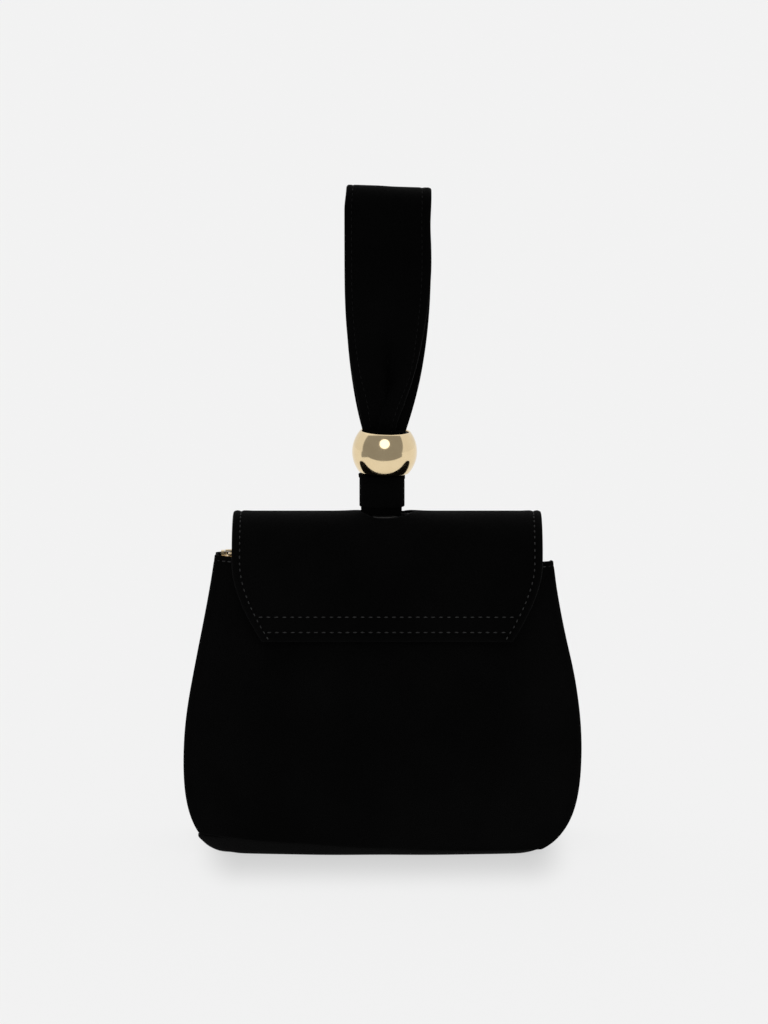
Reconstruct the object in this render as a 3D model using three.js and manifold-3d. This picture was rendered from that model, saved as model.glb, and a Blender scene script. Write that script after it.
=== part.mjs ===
// Velvet evening bag: a zipped pouch under a magnetic flap, carried by a wrist loop
// that a gold bead gathers. Millimetres, +Z up, front towards -Y, +X to the right seen
// from the front. The origin is on the floor under the middle of the bag.
import * as THREE from 'three';
import { mergeVertices } from 'three/addons/utils/BufferGeometryUtils.js';
import Module from 'manifold-3d';

const wasm = await Module();
wasm.setup();

// ---- Driving dimensions -------------------------------------------------------------
const gap = 0.3; // between pieces that touch
const widestHalf = 100; // half the width at the widest height
const widestZ = 50;
const mouthZ = 148.5; // top edge of the pouch
const mouthHalf = 84.6;
const mouthDepth = 18.3; // half depth at the middle of the mouth
const mouthGusset = 5.7; // half depth at the ends of the mouth
const baseGusset = 26.2; // half depth of the gusset at the floor
const baseHalf = 68; // flat half length of the base
const seamZ = 4.5; // height of the bottom seams of the front and back panels
const cornerZ = 10.8; // where base and gusset meet round the bottom corner
const crown = 3.2; // power of the panels' bow across the width
const velvet = 1.6; // velvet with its backing
const liningGap = 1.6; // loose space between velvet and lining
const lining = 0.6;
const facing = 1.0;
const facingLow = 128; // where the lining ends and the mouth facing starts
const valley = 4.4; // depth of the fold down the middle of each gusset
const gussetInset = 0.6; // gusset behind the outline
const baseCurl = 4; // how far the base's long edges turn up

const zipZ = 145.9; // middle of the zip tape
const zipLeft = -77;
const zipRight = 61;
const toothPitch = 3;
const toothHeight = 1.8;
const toothTip = 0.15; // how near a tooth comes to the middle of the zip
const toothRoot = 1.2;
const toothBack = 1.9;
const tapeInner = 2.2;
const tapeHalf = 8;
const tapeThick = 0.6;
const ledgeHalf = 66;
const ledgeThick = 1;
const sliderFront = -82;
const sliderBack = -74;
const sliderHalf = 3.6;
const pullHalf = 2.2;
const pullLength = 12.5; // from its hinge to its round end
const pullThick = 1;

const flapLiningRadius = 19; // inside of the flap's arch over the mouth
const flapLining = 0.8;
const flapCore = 0.8;
const flapVelvet = 1.2;
const flapClear = 0.7; // between the flap and the front panel
const flapBottomZ = 110.3;
const flapHalf = 77.4;
const flapBottomHalf = 62.3;
const tailLowZ = 118;
const tailHalf = 70;
const slotWidth = 27.2;
const slotDepth = 18.8;
const trimWidth = 24.4; // the hole that the glossy trim leaves
const trimDepth = 15.2;
const trimRise = 0.5; // above the flap's velvet
const patchSpread = 0.7; // half angle of the patches under the crown
const magnetRadius = 7;
const magnetThick = 0.8;
const magnetZ = 119;
const boardHalfX = 64;
const boardHalfY = 22.5;
const boardThick = 1.5;
const pocketHalf = 42;
const pocketLowZ = 55;
const pocketHighZ = 110;

const swingZ = 171.5; // height where the strap bends at the slot
const beadRadius = 16.4;
const beadHole = 12.07;
const beadZ = 201.3;
const beadWall = 1.2;
const linerOuter = 11.75;
const linerInner = 10.95;
const stemWidth = 21;
const stemDepth = 9;
const keeperWidth = 22.8;
const keeperDepth = 12.6;
const keeperLow = 174.8;
const footRadius = 17.1; // inner face of the strap's foot, under the arch
const footThick = 1.6;
const footHalf = 14.6;
const patchThick = 1.2;
const strapTopZ = 334.6;
const strapHalf = 21.5;
const strapPly = 1.2;
const loopRadius = 10.65; // middle of the strap at the top fold
const gatherTopZ = 252; // the bead can travel up to here

const beadCut = Math.sqrt(beadRadius ** 2 - beadHole ** 2);
const flapThick = flapLining + flapCore + flapVelvet + 2 * gap;

// ---- Materials -----------------------------------------------------------------------
const velvetBlack = new THREE.MeshStandardMaterial({ color: 0x0b0b0c, roughness: 0.95 });
const liningBlack = new THREE.MeshStandardMaterial({ color: 0x1a191b, roughness: 0.7 });
const boardGrey = new THREE.MeshStandardMaterial({ color: 0x6e675c, roughness: 0.9 });
const tapeBlack = new THREE.MeshStandardMaterial({ color: 0x121213, roughness: 0.85 });
const paleGold = new THREE.MeshStandardMaterial({ color: 0xd9c5a0, roughness: 0.2, metalness: 1 });
const magnetSteel = new THREE.MeshStandardMaterial({ color: 0x9a9a9c, roughness: 0.4, metalness: 1 });
const edgePaint = new THREE.MeshStandardMaterial({ color: 0x161616, roughness: 0.35 });
const linerBlack = new THREE.MeshStandardMaterial({ color: 0x1c1c1c, roughness: 0.6 });

// ---- Curves that the pouch follows ------------------------------------------------------
const v2 = (x, y) => new THREE.Vector2(x, y);
const v3 = (x, y, z) => new THREE.Vector3(x, y, z);

// Reads a curve drawn as (value, height) as a function of the height.
function byHeight(curves, samples = 60) {
  const points = curves.flatMap((curve) => curve.getPoints(samples));
  points.sort((a, b) => a.y - b.y);
  return (z) => {
    const above = points.findIndex((p) => p.y >= z);
    if (above < 0) return points[points.length - 1].x;
    if (above === 0) return points[0].x;
    const low = points[above - 1];
    const high = points[above];
    const part = high.y === low.y ? 0 : (z - low.y) / (high.y - low.y);
    return low.x + (high.x - low.x) * part;
  };
}

const sideCurve = new THREE.CubicBezierCurve(
  v2(mouthHalf, mouthZ), v2(89.5, 115), v2(widestHalf, 85), v2(widestHalf, widestZ));
const cornerCurve = new THREE.CubicBezierCurve(
  v2(widestHalf, widestZ), v2(widestHalf, 28), v2(97, 0), v2(baseHalf, 0));
const depthCurve = new THREE.CubicBezierCurve(
  v2(31.5, seamZ), v2(38, 25), v2(35, 80), v2(mouthDepth, mouthZ));
const halfWidth = byHeight([sideCurve, cornerCurve]);
const midDepth = byHeight([depthCurve]);

// Half depth of the gusset, which narrows towards the mouth.
function gussetHalf(z) {
  const up = Math.min(1, Math.max(0, z / mouthZ));
  return mouthGusset + (baseGusset - mouthGusset) * (1 - up ** 1.3);
}

// Distance from the middle plane to a panel's outer face.
function panelDepth(x, z) {
  const side = Math.min(1, Math.abs(x) / halfWidth(z));
  const edge = gussetHalf(z);
  return edge + (midDepth(z) - edge) * (1 - side ** crown);
}

// ---- Solids ---------------------------------------------------------------------------
function meshFrom(name, geometry, material) {
  const mesh = new THREE.Mesh(geometry, material);
  mesh.name = name;
  return mesh;
}

// A closed sheet between two grids of points; outer(u, v) and inner(u, v) with 0 to 1.
function sheet(outer, inner, nu, nv) {
  const positions = [];
  const index = [];
  const at = (face, i, j) => face * (nu + 1) * (nv + 1) + i * (nv + 1) + j;
  for (const surface of [outer, inner]) {
    for (let i = 0; i <= nu; i += 1) {
      for (let j = 0; j <= nv; j += 1) positions.push(...surface(i / nu, j / nv).toArray());
    }
  }
  const quad = (a, b, c, d) => index.push(a, b, c, a, c, d);
  for (let i = 0; i < nu; i += 1) {
    for (let j = 0; j < nv; j += 1) {
      quad(at(0, i, j), at(0, i + 1, j), at(0, i + 1, j + 1), at(0, i, j + 1));
      quad(at(1, i, j), at(1, i, j + 1), at(1, i + 1, j + 1), at(1, i + 1, j));
    }
    quad(at(0, i, 0), at(1, i, 0), at(1, i + 1, 0), at(0, i + 1, 0));
    quad(at(0, i, nv), at(0, i + 1, nv), at(1, i + 1, nv), at(1, i, nv));
  }
  for (let j = 0; j < nv; j += 1) {
    quad(at(0, 0, j), at(0, 0, j + 1), at(1, 0, j + 1), at(1, 0, j));
    quad(at(0, nu, j), at(1, nu, j), at(1, nu, j + 1), at(0, nu, j + 1));
  }
  const geometry = new THREE.BufferGeometry();
  geometry.setAttribute('position', new THREE.Float32BufferAttribute(positions, 3));
  geometry.setIndex(facingOut(positions, index));
  return geometry;
}

// Turns the triangles over when their signed volume is negative.
function facingOut(positions, index) {
  const point = (i) => v3(positions[3 * i], positions[3 * i + 1], positions[3 * i + 2]);
  let volume = 0;
  for (let i = 0; i < index.length; i += 3) {
    const [a, b, c] = [point(index[i]), point(index[i + 1]), point(index[i + 2])];
    volume += a.dot(b.cross(c));
  }
  if (volume >= 0) return index;
  const turned = [];
  for (let i = 0; i < index.length; i += 3) turned.push(index[i], index[i + 2], index[i + 1]);
  return turned;
}

function toManifold(geometry) {
  const bare = geometry.clone();
  bare.deleteAttribute('normal');
  bare.deleteAttribute('uv');
  const merged = mergeVertices(bare, 1e-4);
  return new wasm.Manifold(new wasm.Mesh({
    numProp: 3,
    vertProperties: new Float32Array(merged.attributes.position.array),
    triVerts: new Uint32Array(merged.index.array),
  }));
}

function fromManifold(solid) {
  const mesh = solid.getMesh();
  const geometry = new THREE.BufferGeometry();
  geometry.setAttribute('position', new THREE.Float32BufferAttribute(mesh.vertProperties, 3));
  geometry.setIndex(Array.from(mesh.triVerts));
  return geometry;
}

function joined(...geometries) {
  return fromManifold(geometries.map(toManifold).reduce((sum, solid) => sum.add(solid)));
}

function cut(geometry, ...tools) {
  const whole = toManifold(geometry);
  return fromManifold(tools.map(toManifold).reduce((rest, tool) => rest.subtract(tool), whole));
}

function common(geometry, tool) {
  return fromManifold(toManifold(geometry).intersect(toManifold(tool)));
}

function box(low, high) {
  const size = high.map((value, i) => value - low[i]);
  const middle = high.map((value, i) => (value + low[i]) / 2);
  return new THREE.BoxGeometry(...size).translate(...middle);
}

// An outline with half-round ends, width along X and depth along Y.
function stadium(width, depth) {
  const half = width / 2 - depth / 2;
  const shape = new THREE.Shape();
  shape.moveTo(-half, -depth / 2);
  shape.lineTo(half, -depth / 2);
  shape.absarc(half, 0, depth / 2, -Math.PI / 2, Math.PI / 2, false);
  shape.lineTo(-half, depth / 2);
  shape.absarc(-half, 0, depth / 2, Math.PI / 2, 1.5 * Math.PI, false);
  return shape;
}

function upright(shape, low, high, segments = 6) {
  const options = { depth: high - low, bevelEnabled: false, curveSegments: segments };
  return new THREE.ExtrudeGeometry(shape, options).translate(0, 0, low);
}

function ring(outer, inner, low, high) {
  outer.holes.push(inner);
  return upright(outer, low, high);
}

function roundedPlate(halfX, halfY, radius, low, high) {
  const shape = new THREE.Shape();
  shape.absarc(halfX - radius, halfY - radius, radius, 0, Math.PI / 2, false);
  shape.absarc(-halfX + radius, halfY - radius, radius, Math.PI / 2, Math.PI, false);
  shape.absarc(-halfX + radius, -halfY + radius, radius, Math.PI, 1.5 * Math.PI, false);
  shape.absarc(halfX - radius, -halfY + radius, radius, 1.5 * Math.PI, 2 * Math.PI, false);
  return upright(shape, low, high);
}

// ---- Pouch ------------------------------------------------------------------------------
// A sheet that follows the front (sign -1) or back (sign 1) panel at a depth below its face.
function panelSheet(sign, inset, thick, low, high, reach, nu = 16, nv = 13) {
  const surface = (extra) => (u, v) => {
    const z = low + (high - low) * v ** 1.3;
    const x = (2 * u - 1) * halfWidth(z) * reach;
    return v3(x, sign * (panelDepth(x, z) - inset - extra), z);
  };
  return sheet(surface(0), surface(thick), nu, nv);
}

const lerp = (a, b, t) => a + (b - a) * t;

// Point and inward direction on the side outline, by height between two limits.
function outlineAt(z) {
  const step = 0.4;
  const above = z + step;
  const below = Math.max(0, z - step);
  const along = v2(halfWidth(above) - halfWidth(below), above - below).normalize();
  return { point: v2(halfWidth(z), z), inward: v2(-along.y, along.x) };
}

// A strip down one side of the pouch with a valley fold; sign -1 is the left side.
function gussetStrip(sign, inset, thick, low, high, margin, nu = 20, nv = 8) {
  const surface = (extra) => (u, v) => {
    const z = low + (high - low) * u ** 1.5;
    const { point, inward } = outlineAt(z);
    const y = (2 * v - 1) * (gussetHalf(z) - margin);
    const share = y / (gussetHalf(z) - velvet - gap);
    const fade = Math.sin((Math.PI * (z - cornerZ)) / (mouthZ - cornerZ));
    const fold = valley * Math.max(0, fade) * (1 - share ** 2);
    const depth = gussetInset + fold + inset + extra;
    return v3(sign * (point.x + inward.x * depth), y, point.y + inward.y * depth);
  };
  return sheet(surface(0), surface(thick), nu, nv);
}

// The base runs along the floor and a little way up both bottom corners.
function basePanel() {
  const points = [];
  const cornerStart = outlineSteps(cornerZ - 0.5);
  for (const z of cornerStart) points.push(outlineAt(z));
  const flat = 8;
  for (let i = 0; i <= flat; i += 1) {
    points.push({ point: v2(baseHalf * (1 - (2 * i) / flat), 0), inward: v2(0, 1) });
  }
  for (const z of [...cornerStart].reverse()) {
    const { point, inward } = outlineAt(z);
    points.push({ point: v2(-point.x, point.y), inward: v2(-inward.x, inward.y) });
  }
  const last = points.length - 1;
  const surface = (extra) => (u, v) => {
    const { point, inward } = points[Math.round(u * last)];
    const across = 2 * v - 1;
    const turned = Math.max(0, (Math.abs(across) - 0.8) / 0.2) ** 2;
    const up = point.y / cornerZ;
    const depth = baseCurl * turned * (1 - up) + gussetInset * up + extra;
    const level = Math.max(seamZ, point.y);
    const side = Math.min(Math.abs(point.x), halfWidth(level));
    const reach = panelDepth(side, level) - velvet - gap;
    return v3(point.x + inward.x * depth, across * reach, point.y + inward.y * depth);
  };
  return sheet(surface(0), surface(velvet), last, 10);
}

// Heights down the bottom corner, closer together where it turns under.
function outlineSteps(top) {
  const steps = [];
  const count = 9;
  for (let i = 0; i < count; i += 1) steps.push(top * ((count - i) / count) ** 1.6);
  return steps;
}

function zipFacing(sign) {
  const shape = new THREE.Shape();
  const inner = tapeHalf + 0.5;
  const steps = 20;
  shape.moveTo(-ledgeHalf, sign * inner);
  for (let i = 0; i <= steps; i += 1) {
    const x = lerp(-ledgeHalf, ledgeHalf, i / steps);
    shape.lineTo(x, sign * (panelDepth(x, zipZ) - velvet - facing - 2.4 * gap));
  }
  shape.lineTo(ledgeHalf, sign * inner);
  return upright(shape, zipZ - ledgeThick / 2, zipZ + ledgeThick / 2);
}

// Two plies of lining, sewn to the back lining.
function slipPocket() {
  const inset = velvet + liningGap + lining + gap;
  const surface = (extra) => (u, v) => {
    const z = lerp(pocketLowZ, pocketHighZ, v);
    const x = (2 * u - 1) * pocketHalf;
    return v3(x, panelDepth(x, z) - inset - extra, z);
  };
  return sheet(surface(0), surface(2 * lining), 12, 8);
}

// A thin disc that lies along the front panel, a distance out from its face.
function frontDisc(radius, thick, z, out) {
  const lean = Math.atan2(midDepth(z - 5) - midDepth(z + 5), 10);
  const disc = new THREE.CylinderGeometry(radius, radius, thick, 24);
  return disc.rotateX(-lean).translate(0, -(midDepth(z) + out), z);
}

// ---- Zip ---------------------------------------------------------------------------------
function zipTeeth(sign) {
  const shape = new THREE.Shape();
  const back = sign * toothBack;
  const root = sign * toothRoot;
  const tip = sign * toothTip;
  const shift = sign > 0 ? toothPitch / 2 : 0;
  const first = zipLeft + shift + 0.3;
  const count = Math.floor((zipRight - first - toothPitch / 2) / toothPitch);
  shape.moveTo(zipLeft, back);
  shape.lineTo(zipLeft, root);
  for (let i = 0; i < count; i += 1) {
    const x = first + i * toothPitch;
    shape.lineTo(x, root);
    shape.lineTo(x, tip);
    shape.lineTo(x + toothPitch / 2, tip);
    shape.lineTo(x + toothPitch / 2, root);
  }
  shape.lineTo(zipRight, root);
  shape.lineTo(zipRight, back);
  return upright(shape, zipZ - toothHeight / 2, zipZ + toothHeight / 2);
}

function zipTape(sign) {
  const shape = new THREE.Shape();
  const steps = 16;
  const end = zipRight + toothPitch;
  shape.moveTo(zipLeft, sign * tapeInner);
  for (let i = 0; i <= steps; i += 1) {
    const x = lerp(zipLeft, end, i / steps);
    const room = panelDepth(x, zipZ) - velvet - facing - 3 * gap;
    shape.lineTo(x, sign * Math.min(tapeHalf - 0.2, room));
  }
  shape.lineTo(end, sign * tapeInner);
  return upright(shape, zipZ - tapeThick / 2, zipZ + tapeThick / 2);
}

// A box on one side of the zip, between two distances from its middle line.
function sideBox(sign, [left, right], [near, far], [low, high]) {
  const sides = [sign * near, sign * far].sort((a, b) => a - b);
  return box([left, sides[0], low], [right, sides[1], high]);
}

// Two plates with a wedge between them, rails along their sides, a nose and a bridge on top.
function zipSlider() {
  const plateThick = 1;
  const railHigh = 1.3;
  const thinHalf = 0.9; // half width of the divider and of the bridge
  const noseHalf = 1.6;
  const noseBack = -80.3;
  const noseTop = 5;
  const postThick = 0.7;
  const bridgeLeft = -79.9;
  const bridgeRight = -76.2;
  const bridgeTop = 5.4;
  const inside = 2; // the divider, the nose and the posts start inside the plates
  const length = [sliderFront, sliderBack];
  const plate = (low) => box(
    [sliderFront, -sliderHalf, zipZ + low], [sliderBack, sliderHalf, zipZ + low + plateThick]);
  const rail = (sign, low) => sideBox(sign, length, [sliderHalf - plateThick, sliderHalf],
    [zipZ + low, zipZ + low + railHigh]);
  const block = (left, right, low, high, half) => box(
    [left, -half, zipZ + low], [right, half, zipZ + high]);
  return joined(
    plate(-2.3), plate(1.3), rail(-1, -2), rail(1, -2), rail(-1, 0.7), rail(1, 0.7),
    block(sliderFront, zipLeft - 1, -inside, inside, thinHalf),
    block(sliderFront, noseBack, inside, noseTop, noseHalf),
    block(bridgeLeft, bridgeLeft + postThick, inside, bridgeTop, thinHalf),
    block(bridgeRight - postThick, bridgeRight, inside, bridgeTop, thinHalf),
    block(bridgeLeft, bridgeRight, bridgeTop - postThick, bridgeTop, thinHalf));
}

// Lies on the slider with its cross bar under the bridge.
const pullHinge = v3(-78, 0, zipZ + 3.1);

function zipPull() {
  const shape = new THREE.Shape();
  const bar = 1; // width of the cross bar and of the sides round the window
  const start = pullHinge.x - bar / 2;
  const turn = pullHinge.x + pullLength - pullHalf;
  shape.moveTo(start, -pullHalf);
  shape.lineTo(turn, -pullHalf);
  shape.absarc(turn, 0, pullHalf, -Math.PI / 2, Math.PI / 2, false);
  shape.lineTo(start, pullHalf);
  const window = new THREE.Path();
  window.moveTo(start + bar, bar - pullHalf);
  window.lineTo(start + bar, pullHalf - bar);
  window.lineTo(start + 4.2, pullHalf - bar);
  window.lineTo(start + 4.2, bar - pullHalf);
  shape.holes.push(window);
  return upright(shape, pullHinge.z - pullThick / 2, pullHinge.z + pullThick / 2);
}

function topStop(sign) {
  return sideBox(sign, [zipLeft - 0.9, zipLeft - gap], [toothRoot, tapeInner],
    [zipZ - 0.8, zipZ + 0.8]);
}

function bottomStop() {
  const half = toothHeight / 2;
  return box([zipRight + gap, -2 * half, zipZ - half], [zipRight + 2.3, 2 * half, zipZ + half]);
}

// ---- Flap --------------------------------------------------------------------------------
const flapEdge = byHeight([new THREE.CubicBezierCurve(
  v2(flapHalf, mouthZ), v2(flapHalf, 138), v2(72, 125), v2(flapBottomHalf, flapBottomZ))]);
const archShare = 0.6; // share of the grid's rows that the arch takes

// Point on the flap's middle line, offset outwards from the lining's inner face.
function flapProfile(t, offset) {
  if (t < archShare) {
    const angle = lerp(0.02, Math.PI, t / archShare);
    const radius = flapLiningRadius + offset;
    return { y: radius * Math.cos(angle), z: mouthZ + radius * Math.sin(angle) };
  }
  const z = lerp(mouthZ, flapBottomZ, (t - archShare) / (1 - archShare));
  const y = Math.max(flapLiningRadius, midDepth(z) + flapClear) + offset;
  return { y: -y, z };
}

function flapLayer(offset, thick, margin, ...holes) {
  const surface = (extra) => (u, v) => {
    const { y, z } = flapProfile(v, offset + extra);
    const width = v < archShare ? flapHalf : flapEdge(z);
    return v3((2 * u - 1) * (width - margin), y, z);
  };
  const layer = sheet(surface(0), surface(thick), 4, 26);
  return cut(layer, upright(stadium(slotWidth, slotDepth), mouthZ + 10, mouthZ + 30), ...holes);
}

// The flap's lower end, sewn to the back panel.
function flapTail() {
  const surface = (extra) => (u, v) => {
    const z = lerp(tailLowZ, mouthZ - 0.4, v);
    const width = lerp(tailHalf, flapHalf, v ** 0.7);
    return v3((2 * u - 1) * width, midDepth(z) + flapClear + extra, z);
  };
  return sheet(surface(0), surface(flapThick), 4, 8);
}

// A solid cylinder round the arch's axis.
function archCylinder(radius) {
  const length = 2 * slotWidth;
  const rod = new THREE.CylinderGeometry(radius, radius, length, 96);
  return rod.rotateZ(Math.PI / 2).translate(0, 0, mouthZ);
}

// The glossy edge of the slot, which follows the arch.
function slotTrim() {
  const outer = stadium(slotWidth - 2 * gap, slotDepth - 2 * gap);
  const band = ring(outer, stadium(trimWidth, trimDepth), mouthZ + 10, mouthZ + 30);
  const underTop = common(band, archCylinder(flapLiningRadius + flapThick + trimRise));
  return cut(underTop, archCylinder(flapLiningRadius));
}

// A patch under the flap's crown, between two angles of the arch.
function archPatch(radius, thick, halfX) {
  const surface = (extra) => (u, v) => {
    const angle = Math.PI / 2 + lerp(-patchSpread, patchSpread, v);
    return v3((2 * u - 1) * halfX, (radius + extra) * Math.cos(angle),
      mouthZ + (radius + extra) * Math.sin(angle));
  };
  return sheet(surface(0), surface(thick), 1, 10);
}

function strapFoot() {
  const plate = archPatch(footRadius, footThick, footHalf);
  const neck = upright(stadium(stemWidth - 0.4, stemDepth), mouthZ + 18, swingZ - gap);
  return joined(plate, neck);
}

// ---- Strap -------------------------------------------------------------------------------
const strapHalfAt = byHeight([new THREE.CubicBezierCurve(
  v2(11, 211.5), v2(15.5, 226), v2(21.5, 250), v2(strapHalf, 290))]);
const loopTopZ = strapTopZ - loopRadius - strapPly - gap / 2;
const legBottomZ = beadZ + beadCut + gap;
const legCurve = new THREE.CubicBezierCurve(
  v2(1.65, legBottomZ), v2(3, 240), v2(14, 290), v2(loopRadius, loopTopZ));

// Middle line of one half of the loop: up the leg, then a quarter turn to the top.
function loopPoint(t) {
  if (t < 0.7) {
    const at = legCurve.getPoint(t / 0.7);
    const along = legCurve.getTangent(t / 0.7);
    return { at, outward: v2(along.y, -along.x) };
  }
  const angle = ((t - 0.7) / 0.3) * (Math.PI / 2);
  const outward = v2(Math.cos(angle), Math.sin(angle));
  return { at: v2(loopRadius * outward.x, loopTopZ + loopRadius * outward.y), outward };
}

function startOfLoop() {
  let t = 0;
  while (loopPoint(t).at.y < gatherTopZ) t += 0.001;
  return t;
}

// One ply of the wide loop, from the gather on one side over the top to the other.
function loopPly(offset) {
  const start = startOfLoop();
  const surface = (extra) => (u, v) => {
    const back = v > 0.5;
    const t = lerp(start, 1, back ? 2 - 2 * v : 2 * v);
    const { at, outward } = loopPoint(t);
    const y = at.x + outward.x * (offset + extra);
    const z = at.y + outward.y * (offset + extra);
    return v3((2 * u - 1) * strapHalfAt(at.y), back ? y : -y, z);
  };
  return sheet(surface(0), surface(strapPly), 2, 44);
}

// The gathered lower end of one leg, both plies pressed together.
function gatheredLeg(sign) {
  const end = startOfLoop() - 0.004;
  const surface = (offset) => (u, v) => {
    const { at, outward } = loopPoint(lerp(0, end, v));
    const y = at.x + outward.x * offset;
    return v3((2 * u - 1) * strapHalfAt(at.y), sign * y, at.y + outward.y * offset);
  };
  return sheet(surface(strapPly), surface(-strapPly), 2, 14);
}

// ---- Bead --------------------------------------------------------------------------------
function beadShell() {
  const outline = [];
  const steps = 10;
  const outerAngle = Math.asin(beadCut / beadRadius);
  const inner = beadRadius - beadWall;
  const innerAngle = Math.acos((beadHole + 0.05) / inner);
  for (let i = 0; i <= steps; i += 1) {
    const angle = lerp(-outerAngle, outerAngle, i / steps);
    outline.push(v2(beadRadius * Math.cos(angle), beadRadius * Math.sin(angle)));
  }
  for (let i = 0; i <= steps; i += 1) {
    const angle = lerp(innerAngle, -innerAngle, i / steps);
    outline.push(v2(inner * Math.cos(angle), inner * Math.sin(angle)));
  }
  outline.push(outline[0].clone());
  return lathe(outline, 32).translate(0, 0, beadZ);
}

function beadLiner() {
  const reach = beadCut - 0.8;
  const outline = [v2(linerInner, -reach), v2(linerOuter, -reach), v2(linerOuter, reach),
    v2(linerInner, reach), v2(linerInner, -reach)];
  return lathe(outline, 32).translate(0, 0, beadZ);
}

// Turned about Z; LatheGeometry turns about Y.
function lathe(outline, segments) {
  const turned = new THREE.LatheGeometry(outline, segments).rotateX(Math.PI / 2);
  return fromManifold(toManifold(turned));
}

// ---- Assembly ----------------------------------------------------------------------------
const pouch = new THREE.Group();
for (const [side, sign] of [['front', -1], ['back', 1]]) {
  const liningInset = velvet + liningGap;
  pouch.add(
    meshFrom(`${side}_panel`, panelSheet(sign, 0, velvet, seamZ, mouthZ, 1), velvetBlack),
    meshFrom(`${side}_lining`,
      panelSheet(sign, liningInset, lining, cornerZ + 3, facingLow - gap, 0.95, 12, 8), liningBlack),
    meshFrom(`${side}_facing`,
      panelSheet(sign, velvet + gap, facing, facingLow, mouthZ - 1, 0.93, 14, 4), velvetBlack),
    meshFrom(`${side}_zip_facing`, zipFacing(sign), liningBlack),
    meshFrom(`${side}_zip_tape`, zipTape(sign), tapeBlack),
    meshFrom(`${side}_zip_teeth`, zipTeeth(sign), paleGold),
    meshFrom(`${side}_zip_top_stop`, topStop(sign), paleGold));
}
for (const [side, sign] of [['left', -1], ['right', 1]]) {
  const liningInset = velvet + 1.2;
  pouch.add(
    meshFrom(`${side}_gusset`,
      gussetStrip(sign, 0, velvet, cornerZ, mouthZ, velvet + gap), velvetBlack),
    meshFrom(`${side}_gusset_lining`,
      gussetStrip(sign, liningInset, lining, cornerZ + 4, facingLow - gap, 6.4, 10, 4), liningBlack));
}
const boardLow = velvet + gap;
const baseLiningLow = boardLow + boardThick + gap;
pouch.add(
  meshFrom('base_panel', basePanel(), velvetBlack),
  meshFrom('base_board',
    roundedPlate(boardHalfX, boardHalfY, 10, boardLow, boardLow + boardThick), boardGrey),
  meshFrom('base_lining',
    roundedPlate(boardHalfX + 2, boardHalfY, 10, baseLiningLow, baseLiningLow + lining), liningBlack),
  meshFrom('slip_pocket', slipPocket(), liningBlack),
  meshFrom('pouch_magnet',
    frontDisc(magnetRadius, magnetThick, magnetZ, -velvet - liningGap / 2), magnetSteel),
  meshFrom('zip_bottom_stop', bottomStop(), paleGold),
  meshFrom('zip_slider', zipSlider(), paleGold),
  meshFrom('zip_pull', zipPull(), paleGold),
  meshFrom('flap_tail', flapTail(), velvetBlack));

const flap = new THREE.Group();
const coreOffset = flapLining + gap;
const coreMiddle = flapClear + coreOffset + flapCore / 2;
flap.add(
  meshFrom('flap_outer', flapLayer(coreOffset + flapCore + gap, flapVelvet, 0), velvetBlack),
  meshFrom('flap_core', flapLayer(coreOffset, flapCore, 3,
    frontDisc(magnetRadius + gap, 12, magnetZ, coreMiddle)), boardGrey),
  meshFrom('flap_magnet', frontDisc(magnetRadius, magnetThick, magnetZ, coreMiddle), magnetSteel),
  meshFrom('flap_lining', flapLayer(0, flapLining, 0.5), velvetBlack),
  meshFrom('slot_trim', slotTrim(), edgePaint),
  meshFrom('strap_foot', strapFoot(), velvetBlack),
  meshFrom('anchor_patch',
    archPatch(footRadius - gap - patchThick, patchThick, footHalf + 0.4), liningBlack));

const strap = new THREE.Group();
strap.add(
  meshFrom('strap_stem',
    upright(stadium(stemWidth, stemDepth), swingZ + gap, beadZ + beadCut - gap), velvetBlack),
  meshFrom('strap_keeper',
    ring(stadium(keeperWidth, keeperDepth), stadium(stemWidth + 0.7, stemDepth + 0.7),
      keeperLow, beadZ - beadCut - gap), velvetBlack),
  meshFrom('strap_front_gather', gatheredLeg(-1), velvetBlack),
  meshFrom('strap_back_gather', gatheredLeg(1), velvetBlack),
  meshFrom('strap_outer_ply', loopPly(gap / 2), velvetBlack),
  meshFrom('strap_inner_ply', loopPly(-gap / 2 - strapPly), velvetBlack),
  meshFrom('bead_shell', beadShell(), paleGold),
  meshFrom('bead_liner', beadLiner(), linerBlack));

const bag = new THREE.Group();
bag.add(pouch, flap, strap);
export default bag;
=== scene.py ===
"""Velvet evening bag: the visual model, its light, floor and camera.

Shapes are worked out in millimetres, with +Z up and the front towards -Y.
add_mesh() turns them into metres.
"""

import math

import bpy
import numpy as np
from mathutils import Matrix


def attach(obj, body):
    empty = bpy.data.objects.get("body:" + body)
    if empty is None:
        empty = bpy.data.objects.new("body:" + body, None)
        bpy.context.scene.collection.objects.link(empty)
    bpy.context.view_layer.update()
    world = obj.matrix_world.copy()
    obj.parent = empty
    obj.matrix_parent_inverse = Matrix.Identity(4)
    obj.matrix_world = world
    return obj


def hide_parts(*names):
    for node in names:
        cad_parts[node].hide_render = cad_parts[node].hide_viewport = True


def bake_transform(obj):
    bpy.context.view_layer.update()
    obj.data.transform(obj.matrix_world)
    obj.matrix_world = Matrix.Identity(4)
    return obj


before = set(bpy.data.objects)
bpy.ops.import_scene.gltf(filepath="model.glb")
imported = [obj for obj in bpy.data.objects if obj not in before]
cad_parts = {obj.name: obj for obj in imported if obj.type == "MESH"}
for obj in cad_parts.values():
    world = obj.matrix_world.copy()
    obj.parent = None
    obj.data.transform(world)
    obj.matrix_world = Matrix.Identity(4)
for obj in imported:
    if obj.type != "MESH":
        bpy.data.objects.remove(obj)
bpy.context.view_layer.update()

MM = 0.001

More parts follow.
